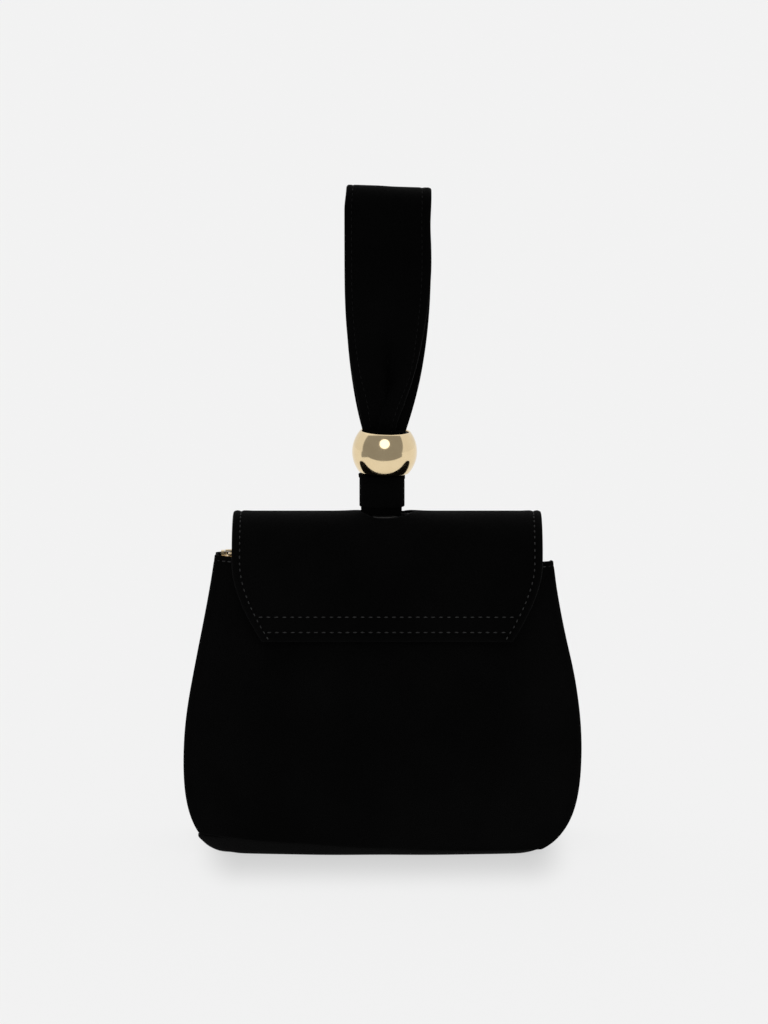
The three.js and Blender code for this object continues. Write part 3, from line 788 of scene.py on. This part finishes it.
def zip_facing(side, sign):
    x = span(-66, 66, CLOSE[:5], CLOSE[:5], 50)
    outer = panel_depth(x, np.full_like(x, ZIP_Z)) - VELVET - FACING - 0.4
    inner = np.minimum(TAPE_HALF + 0.6, outer - 0.5)
    name = f"{side}_zip_satin"
    strip = flat_strip(name, sign, x, inner, outer, ZIP_Z, 1.0, SATIN)
    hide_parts(f"{side}_zip_facing")
    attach(strip, "root")


# ---- Flap --------
SLOT_CUT_X = 12.8
SLOT_CUT_Y = 8.2
SLOT_POWER = 2.4
HEM_ROWS = np.array(
    [0, 0.12, 0.35, 0.7, 1.2, 1.8, 2.5, 3.2, 3.8, 4.2, 4.6, 5.0, 5.4, 6.0, 7.2]
    + [9.0, 10.3, 11.1, 11.6, 12.0, 12.4, 12.9, 13.8, 15.5]
)
FLAP_ASIDE = 1.6
ROW_DEPTH = 0.34
LIP_SINK = 1.6


def flap_path(offset, with_tail, near_end):
    """(y, z, half width) of each row of a flap layer, from the back over the top to the front."""
    rows = []
    if with_tail:
        z = span(TAIL_LOW, MOUTH_Z, CLOSE, np.array([0.0]), 12)[:-1]
        width = mix(TAIL_HALF, FLAP_HALF, ((z - TAIL_LOW) / (MOUTH_Z - TAIL_LOW)) ** 0.7)
        y = np.maximum(ARCH, mid_depth(z) + FLAP_CLEAR) + offset
        rows.append(np.stack([y, z, width], 1))
    start = 0.0 if with_tail else 0.02
    slot_half = SLOT_CUT_Y / (ARCH + offset)
    angle = np.concatenate(
        [
            np.linspace(start, math.pi / 2 - slot_half, 14),
            np.linspace(math.pi / 2 - slot_half, math.pi / 2 + slot_half, 19)[1:-1],
            np.linspace(math.pi / 2 + slot_half, math.pi, 14),
        ]
    )
    y = (ARCH + offset) * np.cos(angle)
    z = MOUTH_Z + (ARCH + offset) * np.sin(angle)
    rows.append(np.stack([y, z, np.full_like(z, FLAP_HALF)], 1))
    z = FLAP_BOTTOM + near_end[::-1]
    z = np.concatenate([np.linspace(MOUTH_Z, z[0], 12)[1:-1], z])
    y = -(np.maximum(ARCH, mid_depth(z) + FLAP_CLEAR) + offset)
    rows.append(np.stack([y, z, flap_edge(z)], 1))
    return np.vstack(rows)


def flap_columns(half, near, margin):
    """Columns that lie closer together across the slot."""
    half = half - margin
    left = -half[None, :] + near[:, None]
    out = np.linspace(1, 0, 22)[1:, None]
    wing = -SLOT_CUT_X + out * (left[-1] + SLOT_CUT_X)[None, :]
    slot = np.linspace(-SLOT_CUT_X, SLOT_CUT_X, 27)[1:-1, None] + 0 * half[None, :]
    return np.vstack([left, wing, slot, -wing[::-1], -left[::-1]])


def flap_grid(offset, margin, with_tail, near, near_end):
    y, z, half = flap_path(offset, with_tail, near_end).T
    x = flap_columns(half, near, margin)
    points = np.stack([x, np.broadcast_to(y, x.shape), np.broadcast_to(z, x.shape)], 2)
    middle = (points[:-1, :-1] + points[1:, 1:]) / 2
    reach = np.abs(middle[..., :2] / [SLOT_CUT_X, SLOT_CUT_Y]) ** SLOT_POWER
    hole = (middle[..., 2] > MOUTH_Z + 10) & (reach.sum(axis=2) < 1)
    return flap_settled(points), hole


def flap_waves(points):
    """How the flap's cloth rises and falls, the same for each of its layers."""
    x, y, z = points[..., 0], points[..., 1], points[..., 2]
    front = smooth((MOUTH_Z - z) / 20) * (y < 0)
    top = smooth((z - MOUTH_Z) / 12) * dent(np.abs(x) - 13.5, 6)
    return 0.45 * front * ripple(x, z, 19, 0.6) + 0.35 * top


def flap_velvet():
    offset = FLAP_THICK - FLAP_VELVET / 2
    points, hole = flap_grid(offset, 0, True, STITCHED, HEM_ROWS)
    x, y, z = points[..., 0], points[..., 1], points[..., 2]
    d = edge_distance(points)
    near = np.clip(d, 0, TURNED_EDGE)
    bend = TURNED_EDGE - np.sqrt(TURNED_EDGE**2 - (TURNED_EDGE - near) ** 2)
    side = np.minimum(d, 9)
    lift = flap_waves(points) - 0.25 * bend - ROW_DEPTH * dent(side - SIDE_STITCH, 0.6)
    lift += 0.2 * dent(side - 1.9, 0.9) + 0.16 * dent(side - 6.3, 1.6)
    inside = smooth((d - SIDE_STITCH) / 1.0) * (y < 0)
    for row in ROWS_Z:
        lift -= ROW_DEPTH * inside * dent(z - row, 0.6)
    lift += 0.25 * inside * dent(z - (sum(ROWS_Z) / 2), 2.4)
    obj = cloth("flap_velvet", points, FLAP_VELVET, VELVET_PILE, lift, 0.7, True, hole)
    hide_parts("flap_outer", "flap_tail")
    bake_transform(obj)
    outward = -normals_of(points)
    flap_stitching(points + outward * (lift + FLAP_VELVET / 2)[..., None], outward)


def flap_layer(name, node_name, offset, thick, margin, surface):
    """A layer under the velvet; it bends at the same angle of the arch as the velvet does."""
    points, hole = flap_grid(offset, margin, False, CLOSE, CLOSE)
    obj = cloth(name, points, thick, surface, flap_waves(points), None, True, hole)
    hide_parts(node_name)
    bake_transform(obj)


def flap_settled(points):
    """The flap lies a little to the right of the pouch's middle."""
    out = np.array(points, float)
    out[..., 0] += FLAP_ASIDE
    return out


def flap_stitching(face, outward):
    """Rows down both sides from the crown, two rows above the hem and one on the tail."""
    crown = int(np.argmax(face[len(face) // 4, :, 2]))
    column = int(np.argmin(np.abs(STITCHED - SIDE_STITCH)))
    for side, i in (("left", column), ("right", len(face) - 1 - column)):
        path, out = face[i, crown:], outward[i, crown:]
        stitches(f"flap_{side}_stitches", path, out, 3.4, "flap", length=1.9)
    rows = [(f"row_{number + 1}", row, "flap", False) for number, row in enumerate(ROWS_Z)]
    for name, row, body, behind in rows + [("tail", TAIL_LOW + SIDE_STITCH, "root", True)]:
        down = face[len(face) // 4]
        same_side = (down[:, 1] > 0) == behind
        j = int(np.argmin(np.where(same_side, np.abs(down[:, 2] - row), np.inf)))
        kept = slice(column + 2, len(face) - column - 2)
        stitches(f"flap_{name}_stitches", face[kept, j], outward[kept, j], 3.9, body, length=2.4)


def slot_trim():
    """A glossy lip round the slot, proud of the velvet only at the middle of its long sides."""
    lip = [(0.9, -0.15), (0.85, 0.12), (0.6, 0.32), (0.1, 0.42), (-0.5, 0.4), (-0.95, 0.2)]
    wall = [(-1.15, -0.2), (-1.2, -1.2), (-1.2, -3.4), (-0.95, -3.4), (-0.9, -1.0), (-0.5, -0.2)]

    def over_arch(points):
        out = points.copy()
        out[..., 2] += MOUTH_Z + np.sqrt((ARCH + FLAP_THICK) ** 2 - points[..., 1] ** 2)
        out[..., 2] -= LIP_SINK * smooth((np.abs(points[..., 0]) - 4) / 5)
        return out

    loop = oval_loop(SLOT_CUT_X, SLOT_CUT_Y, SLOT_POWER)
    profile = (lip + wall)[::-1]
    obj = swept("slot_trim_lip", loop, profile, GLOSS, over_arch)
    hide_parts("slot_trim")
    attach(obj, "flap")


def arch_patch(name, node_name, radius, thick, half_x, spread, surface):
    """A patch under the flap's crown."""
    x = across(np.full(15, half_x), CLOSE[:5], 10)
    angle = np.broadcast_to(math.pi / 2 + np.linspace(-spread, spread, 15), x.shape)
    y, z = radius * np.cos(angle), MOUTH_Z + radius * np.sin(angle)
    lift = 0.08 * ripple(x, y, 5, 0.5)
    obj = cloth(name, np.stack([x, y, z], 2), thick, surface, lift, None, True)
    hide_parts(node_name)
    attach(obj, "flap")


# ---- Strap --------
STEM_WIDTH = 21.0
STEM_DEPTH = 9.0
KEEPER_LOW, KEEPER_HIGH = 173.6, 189.9
KEEPER_HEM = 2.3
KEEPER_HALF_X, KEEPER_HALF_Y = 11.05, 6.1
FOOT_HALF = 14.6
STRAP_STITCH = 4.0
PLY_APART = 0.75
PATCH_SPREAD = 0.7
LEAN = through((206, -0.1), (240, 0.9), (288, 1.9), (334, 1.95))
LEFT_EDGE = through(
    (206, -10.4), (216, -11.4), (225, -12.8), (243, -16.2), (265, -18.6), (298, -19.5)
)
RIGHT_EDGE = through((206, 5.8), (216, 6.6), (225, 10.0), (243, 15.7), (265, 20.3), (298, 23.4))
LEFT_RIDGE = through((206, 1.2), (228, 0.0), (238.6, -3.2), (275, -8.9), (298, -9.6))
RIGHT_RIDGE = through((206, -1.4), (217.5, -1.0), (224, 0.6), (240, 8.0), (260, 9.5), (284, 10.4))
PLEAT = through((206, 3.8), (226, 5.2), (242.5, 4.6), (261, 2.2), (288, 0))
RIDGE_OUT = through((206, 0.3), (226, 0.9), (249, 0.8), (288, 0))
OVERLAP = through((206, 1.3), (220, 1.5), (232, 0))
TOP_TURN = 323.0


def strap_rows():
    """(y, z) down the middle of both legs, from the bead over the top to the bead again."""
    lead = np.stack([np.full(4, 1.65), np.linspace(206.5, 211.3, 4)], 1)
    leg = bezier(LEG, np.linspace(0, 1, 74))
    angle = np.linspace(0, math.pi / 2, 16)[1:]
    top = np.stack([LOOP_RADIUS * np.cos(angle), LOOP_CENTRE + LOOP_RADIUS * np.sin(angle)], 1)
    half = np.vstack([lead, leg, top])
    front = half * [-1, 1]
    return np.vstack([front, half[-2::-1]]), len(half)


def leg_section(s, z, front):
    """Where the point at s across the flat strap lies in the folded leg: x and depth."""
    places = np.array([-1, -0.74, -0.48, -0.24, 0, 0.24, 0.48, 0.74, 1]) * STRAP_HALF
    if front:
        left, right = LEFT_EDGE(z), RIGHT_EDGE(z)
    else:
        left, right = LEAN(z) - strap_edge(z) + 0.4, LEAN(z) + strap_edge(z)
    ridge_left, ridge_right = LEFT_RIDGE(z), RIGHT_RIDGE(z)
    middle = (ridge_left + ridge_right) / 2
    fold, out = float(PLEAT(z)), float(RIDGE_OUT(z))
    over = float(OVERLAP(z))
    x = [
        left,
        mix(left, ridge_left, 0.5),
        ridge_left,
        mix(ridge_left, middle, 0.62),
        middle,
        mix(ridge_right, middle, 0.62),
        ridge_right,
        mix(right, ridge_right, 0.5),
        right,
    ]
    half = [0.5 * out, -0.35 * out, -out, 0.45 * fold]
    depth = half + [fold] + half[::-1]
    forward = [0, 0, 0, 0, 0, -0.4 * over, -over, -over, -0.6 * over]
    x_at = through(*zip(places, np.array(x, float)))
    d_at = through(*zip(places, np.array(depth) + np.array(forward)))
    return straight_edges(x_at, s), d_at(s)


def straight_edges(curve, s):
    """through() is level at its ends; near the strap's edges the cloth runs straight instead."""
    end = STRAP_HALF * 0.74
    low, high = curve(np.array([-end, end]))
    first, last = curve(np.array([-STRAP_HALF, STRAP_HALF]))
    left = mix(first, low, (s + STRAP_HALF) / (STRAP_HALF - end))
    right = mix(high, last, (s - end) / (STRAP_HALF - end))
    return np.where(s < -end, left, np.where(s > end, right, curve(s)))


def strap_grid():
    rows, half = strap_rows()
    s = across(np.full(1, STRAP_HALF), STITCHED, 26)[:, 0]
    points = np.zeros((len(s), len(rows), 3))
    for j, (y, z) in enumerate(rows):
        front = j < half
        blend = smooth((j - half + 12) / 24)
        xf, df = leg_section(s, min(z, TOP_TURN), True)
        xb, db = leg_section(s, min(z, TOP_TURN), False)
        x = mix(xf, xb, blend)
        depth = mix(df, db, blend)
        near_top = float(smooth((z - TOP_TURN) / 10))
        dent_in = -0.5 * dent(z - 315.5, 9) * smooth((s - 15) / 6)
        tucked = 0.8 * near_top * smooth((-s - 12) / 9)
        points[:, j, 0] = x + dent_in + tucked
        points[:, j, 1] = y + depth
        points[:, j, 2] = z - 1.4 * near_top * smooth((s + 20) / 44)
        if not front:
            points[:, j, 1] = y + 0.6 * depth
    return points, s


def strap():
    points, s = strap_grid()
    z = points[..., 2]
    wave = 0.18 * ripple(points[..., 0] * 2.2, z, 11, 0.7) * smooth((300 - z) / 60)
    edge = STRAP_HALF - np.abs(s)[:, None] + 0 * z
    seam = -0.3 * dent(edge - STRAP_STITCH, 0.55)
    bend = 0.55 * (1 - smooth(edge / 1.2))
    pieces = (
        ("strap_outer_velvet", PLY_APART, seam - bend, ("strap_outer_ply", "strap_front_gather")),
        ("strap_inner_velvet", -PLY_APART, bend, ("strap_inner_ply", "strap_back_gather")),
    )
    for name, offset, shape, nodes in pieces:
        obj = cloth(name, points, PLY, VELVET_PILE, offset + shape + wave, 0.6)
        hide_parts(*nodes)
        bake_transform(obj)
    strap_stitching(points, s, wave)


def strap_stitching(points, s, wave):
    normal = normals_of(points)
    face = points + normal * (PLY_APART + PLY / 2 - 0.32 + wave)[..., None]
    for side, at in (("left", STRAP_STITCH - STRAP_HALF), ("right", STRAP_HALF - STRAP_STITCH)):
        i = int(np.argmin(np.abs(s - at)))
        name = f"strap_{side}_stitches"
        row = stitches(name, face[i], normal[i], 3.2, None, radius=0.18, yarn=DARK_THREAD)
        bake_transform(row)


def keeper():
    """The sleeve under the bead, with a turned hem at its top and a rim that dips in front."""
    low, high, hem = KEEPER_LOW, KEEPER_HIGH, KEEPER_HEM

    def shaped(points):
        out = points.copy()
        x, z = points[..., 0], points[..., 2]
        up = smooth((z - low - 4) / (high - low - 4))
        out[..., 2] -= up * (0.5 * (1 - (x / 12) ** 2) + 0.4 * (x / 12))
        folded = 0.02 * smooth((z - high + hem + 0.2) / 0.4) - 0.02 * dent(z - high + hem, 0.35)
        flare = 1 + folded + 0.025 * smooth((z - high + 3) / 3) * smooth(-x / 11)
        belly = 1 + 0.04 * np.sin((z - low) / (high - low) * math.pi)
        out[..., 0] = x * flare - 1.0
        out[..., 1] *= flare * belly
        return out

    profile = rounded(low, high, -1.0, 0.3, 0.5)
    loop = oval_loop(KEEPER_HALF_X, KEEPER_HALF_Y, 2.5)
    outline_points = subdivided(profile, 0.45)
    obj = swept("keeper_velvet", loop, outline_points, VELVET_PILE, shaped)
    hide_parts("strap_keeper")
    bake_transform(obj)


def subdivided(outline_points, step):
    """The same closed outline with its long sides cut into steps."""
    out = []
    for (a, b), (c, d) in zip(outline_points, outline_points[1:] + outline_points[:1]):
        count = max(1, round(math.hypot(c - a, d - b) / step))
        out += [(mix(a, c, k / count), mix(b, d, k / count)) for k in range(count)]
    return out


def tube(name, half_x, half_y, levels, surface, groove=0.0):
    """A filled band with rows at each level, closed at both ends."""
    at, out = oval_loop(half_x, half_y, 2.6, 64)
    side = np.abs(at[:, 0]) / half_x
    pinch = groove * smooth((side - 0.9) / 0.1) * dent(at[:, 1], 0.9)
    at = at - out * pinch[:, None]
    points = []
    for z, scale, shift in levels:
        ring = at * scale + [shift, 0]
        points.append(np.column_stack([ring, np.full(len(ring), z)]))
    faces = tube_faces(0, len(levels), len(at))
    return add_mesh(name, np.vstack(points), faces, surface)


def stem_part(name, low, high, size):
    """The stem between two levels; it stands a little to the left at the slot."""
    levels = [(low, 0.9 * size), (low + 0.5, size)]
    levels += [(z, size) for z in np.linspace(low + 1, high - 1, 50)]
    levels += [(high - 0.4, 0.97 * size), (high, 0.85 * size)]
    levels = [(z, scale, -1.3 * (1 - smooth((z - 180) / 8))) for z, scale in levels]
    return tube(name, STEM_WIDTH / 2, STEM_DEPTH / 2, levels, VELVET_PILE, 0.7)


def stem():
    """The stem bends at the slot, and its upper part runs on up into the bead."""
    lower = stem_part("stem_velvet", 168.0, 189.0, 1.0)
    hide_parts("strap_stem")
    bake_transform(lower)
    upper = stem_part("stem_upper_velvet", 186.5, 212.1, 0.985)
    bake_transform(upper)


def foot():
    arch_patch(
        "foot_velvet", "strap_foot", 17.9, 1.6, FOOT_HALF, PATCH_SPREAD, VELVET_PILE
    )
    levels = [(z, 1.0, -1.3) for z in np.linspace(166.0, SWING_Z - 0.4, 6)]
    half_x, half_y = STEM_WIDTH / 2 - 0.3, STEM_DEPTH / 2 - 0.1
    neck = tube("foot_neck_velvet", half_x, half_y, levels, VELVET_PILE)
    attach(neck, "flap")


def bead():
    """A thin polished shell: a sphere cut at both ends, with a rounded lip into its hole."""
    lip = 0.5
    lip_out = BEAD_HOLE + lip
    lip_up = math.sqrt((BEAD_RADIUS - lip) ** 2 - lip_out**2)
    end = math.atan2(lip_up, lip_out)
    inner = BEAD_RADIUS - BEAD_WALL
    under = math.acos(BEAD_HOLE / inner)
    outside = arc(BEAD_RADIUS, np.linspace(-end, end, 56))
    top = arc(lip, np.linspace(end, math.pi, 8)[1:], lip_out, lip_up)
    inside = arc(inner, np.linspace(under, -under, 20))
    bottom = [(out, -up) for out, up in top[::-1]]
    profile = outside + top + inside + bottom
    tilt = math.radians(2)

    def placed(points):
        x, z = points[..., 0].copy(), points[..., 2].copy()
        out = points.copy()
        out[..., 0] = 0.3 + x * math.cos(tilt) + z * math.sin(tilt)
        out[..., 2] = BEAD_Z - x * math.sin(tilt) + z * math.cos(tilt)
        return out

    obj = swept("bead_gold", circle_loop(160), profile, GOLD, placed)
    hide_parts("bead_shell")
    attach(obj, "bead")
    reach = lip_up - 0.3
    tube_wall = rounded(-reach, reach, 10.95, 11.72, 0.3)
    obj = swept("bead_liner_sleeve", circle_loop(96), tube_wall, RUBBER, placed)
    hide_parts("bead_liner")
    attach(obj, "bead")


# ---- Parts that keep their CAD shape --------
ZIP_METAL = ("zip_slider", "zip_pull", "zip_bottom_stop", "front_zip_top_stop", "back_zip_top_stop")


def finish_hard_parts():
    """Metal and board parts keep their CAD shape, but their edges are rounded."""
    surfaces = dict.fromkeys(ZIP_METAL, ZIP_GOLD)
    surfaces |= {"flap_magnet": STEEL, "pouch_magnet": STEEL, "base_board": BOARD}
    for name, surface in surfaces.items():
        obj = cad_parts[name]
        obj.data.materials.clear()
        obj.data.materials.append(surface)
        weld = obj.modifiers.new("weld", "WELD")
        weld.merge_threshold = 0.00001
        bevel = obj.modifiers.new("bevel", "BEVEL")
        bevel.width = 0.00022
        bevel.segments = 3
        bevel.limit_method = "ANGLE"
        bevel.angle_limit = math.radians(40)


# ---- Floor, light and camera --------
FLOOR_HALF = 118.0
FLOOR_GREY = 0.1
FLOOR_GLOW = 0.812
# Painted shadow: near a fixed footprint of the pouch at rest, the floor's glow drops to SHADOW_GLOW.
SHADOW_GLOW = 0.74 * FLOOR_GLOW
SHADOW_FOOT = (0.182, 0.024, 0)
SHADOW_SQUEEZE = (2.6, 1, 1)
SHADOW_REACH = 0.078
CARD_GLOW = 0.23
CAMERA_BACK = 1.6
CAMERA_RISE = math.radians(10)
AIM_HEIGHT = 0.1705


def stage_plane(name, corners, glow):
    """A flat, unshiny grey plane on the stage that also gives off some light of its own."""
    mesh = bpy.data.meshes.new(name)
    mesh.from_pydata(corners, [], [list(range(len(corners)))])
    obj = add_object(name, mesh)
    paint, tree, shader, place = material(f"{name}_paint", 1.0, specular=0.0)
    shader.inputs["Base Color"].default_value = (*grey(FLOOR_GREY), 1)
    shader.inputs["Emission Color"].default_value = (1, 1, 1, 1)
    shader.inputs["Emission Strength"].default_value = glow
    mesh.materials.append(paint)
    return obj, tree, shader, place


def floor():
    """A pale floor that glows evenly like a light table, with a painted shadow: its glow is painted
    dimmer round the pouch's foot, adding to the real shadow and staying put when the pouch moves.
    """
    far = FLOOR_HALF
    corners = [(-far, -far, 0), (far, -far, 0), (far, far, 0), (-far, far, 0)]
    tree, shader, place = stage_plane("floor", corners, FLOOR_GLOW)[1:]
    squeeze = {"Vector": place, "Scale": SHADOW_SQUEEZE}
    shape = node(tree, "ShaderNodeMapping", squeeze).outputs[0]

    def measure(kind, *vectors):
        return node(tree, "ShaderNodeVectorMath", enumerate(vectors), operation=kind).outputs

    # Painted shadow: the glow is dimmed by distance from the pouch's fixed footprint, not by anything
    # in the way of the light.
    beyond = measure("SUBTRACT", measure("ABSOLUTE", shape)[0], SHADOW_FOOT)[0]
    away = measure("LENGTH", measure("MAXIMUM", beyond, (0, 0, 0))[0])["Value"]
    eased = {"interpolation_type": "SMOOTHERSTEP"}
    glow = remap(tree, away, 0, SHADOW_REACH, SHADOW_GLOW, FLOOR_GLOW, **eased)
    tree.links.new(glow, shader.inputs["Emission Strength"])


def grey_card():
    """A darker floor before the lens: the bead reflects it, and the camera doesn't see it."""
    far, up, near, left, right = FLOOR_HALF, 0.001, -0.43, -0.78, 0.9
    corners = [(-far, 0, up), (-far, -far, up), (2 * far, -far, up), (right, near, up)]
    corners += [(left, near, up), (left, 0, up)]
    card = stage_plane("grey_card", corners, CARD_GLOW)[0]
    card.visible_camera = False


def light_tent():
    """A white tent all round, grey in front, with a bright ceiling and a lamp above the lens."""
    world = bpy.data.worlds.new("tent")
    bpy.context.scene.world = world
    world.use_nodes = True
    tree = world.node_tree
    background = tree.nodes["Background"]
    place = node(tree, "ShaderNodeTexCoord").outputs["Generated"]

    def calculate(kind, a, b):
        return node(tree, "ShaderNodeMath", {0: a, 1: b}, operation=kind).outputs[0]

    def towards(direction):
        inputs = {0: place, 1: direction}
        return node(tree, "ShaderNodeVectorMath", inputs, operation="DOT_PRODUCT").outputs["Value"]

    def rise(value, low, high):
        return remap(tree, value, low, high, interpolation_type="SMOOTHSTEP")

    def squared(value):
        return calculate("MULTIPLY", value, value)

    left_of_right_wall = rise(towards((-0.36, -0.764, 0.368)), -0.02, 0.02)
    right_of_left_wall = rise(towards((0.073, -0.847, 0.177)), -0.02, 0.02)
    front = calculate("MULTIPLY", left_of_right_wall, right_of_left_wall)
    up = towards((0, 0, 1))
    off_ceiling = calculate("ADD", squared(towards((1, 0, 0))), squared(towards((0, 1, -0.83))))
    ceiling_edge = calculate("SUBTRACT", calculate("MULTIPLY", squared(up), 1.5055), off_ceiling)
    ceiling = calculate("MULTIPLY", rise(ceiling_edge, -0.03, 0.03), rise(up, 0, 0.02))
    lamp_height = math.radians(35.5)
    lamp_at = towards((0, -math.cos(lamp_height), math.sin(lamp_height)))
    lamp = rise(lamp_at, math.cos(math.radians(18.5)), math.cos(math.radians(15.5)))

    def between(low, high, share):
        return node(tree, "ShaderNodeMix", {"Factor": share, "A": low, "B": high}).outputs[0]

    walls = between(0.82, 0.31, front)
    with_ceiling = between(walls, 0.95, ceiling)
    with_lamp = between(with_ceiling, 2.0, lamp)
    tree.links.new(with_lamp, background.inputs["Strength"])
    background.inputs["Color"].default_value = (1, 1, 1, 1)


def camera():
    target = np.array([0.0, 0.0, AIM_HEIGHT])
    back = np.array([0.0, -math.cos(CAMERA_RISE), math.sin(CAMERA_RISE)])
    data = bpy.data.cameras.new("camera")
    data.lens = 111.9
    data.sensor_width = 36
    data.clip_start, data.clip_end = 0.1, 400
    obj = add_object("camera", data)
    obj.location = target + back * CAMERA_BACK
    obj.rotation_euler = (math.pi / 2 - CAMERA_RISE, 0, 0)
    bpy.context.scene.camera = obj


# ---- Assembly --------
for side_name, side_sign in (("front", -1), ("back", 1)):
    outer_panel(side_name, side_sign)
    panel_lining(side_name, side_sign)
    mouth_facing(side_name, side_sign)
    zip_facing(side_name, side_sign)
    zip_half(side_name, side_sign)
for side_name, side_sign in (("left", -1), ("right", 1)):
    gusset(side_name, side_sign)
base()
base_lining()
slip_pocket()

flap_velvet()
flap_layer("flap_stiffener", "flap_core", 1.5, 0.8, 3.0, BOARD)
flap_layer("flap_lining_velvet", "flap_lining", 0.4, 0.8, 1.2, VELVET_PILE)
slot_trim()
arch_patch("anchor_patch_satin", "anchor_patch", 16.2, 1.2, 15, PATCH_SPREAD, SATIN)

strap()
keeper()
stem()
foot()
bead()
finish_hard_parts()

floor()
grey_card()
light_tent()
camera()
bpy.context.scene.view_settings.view_transform = "Standard"
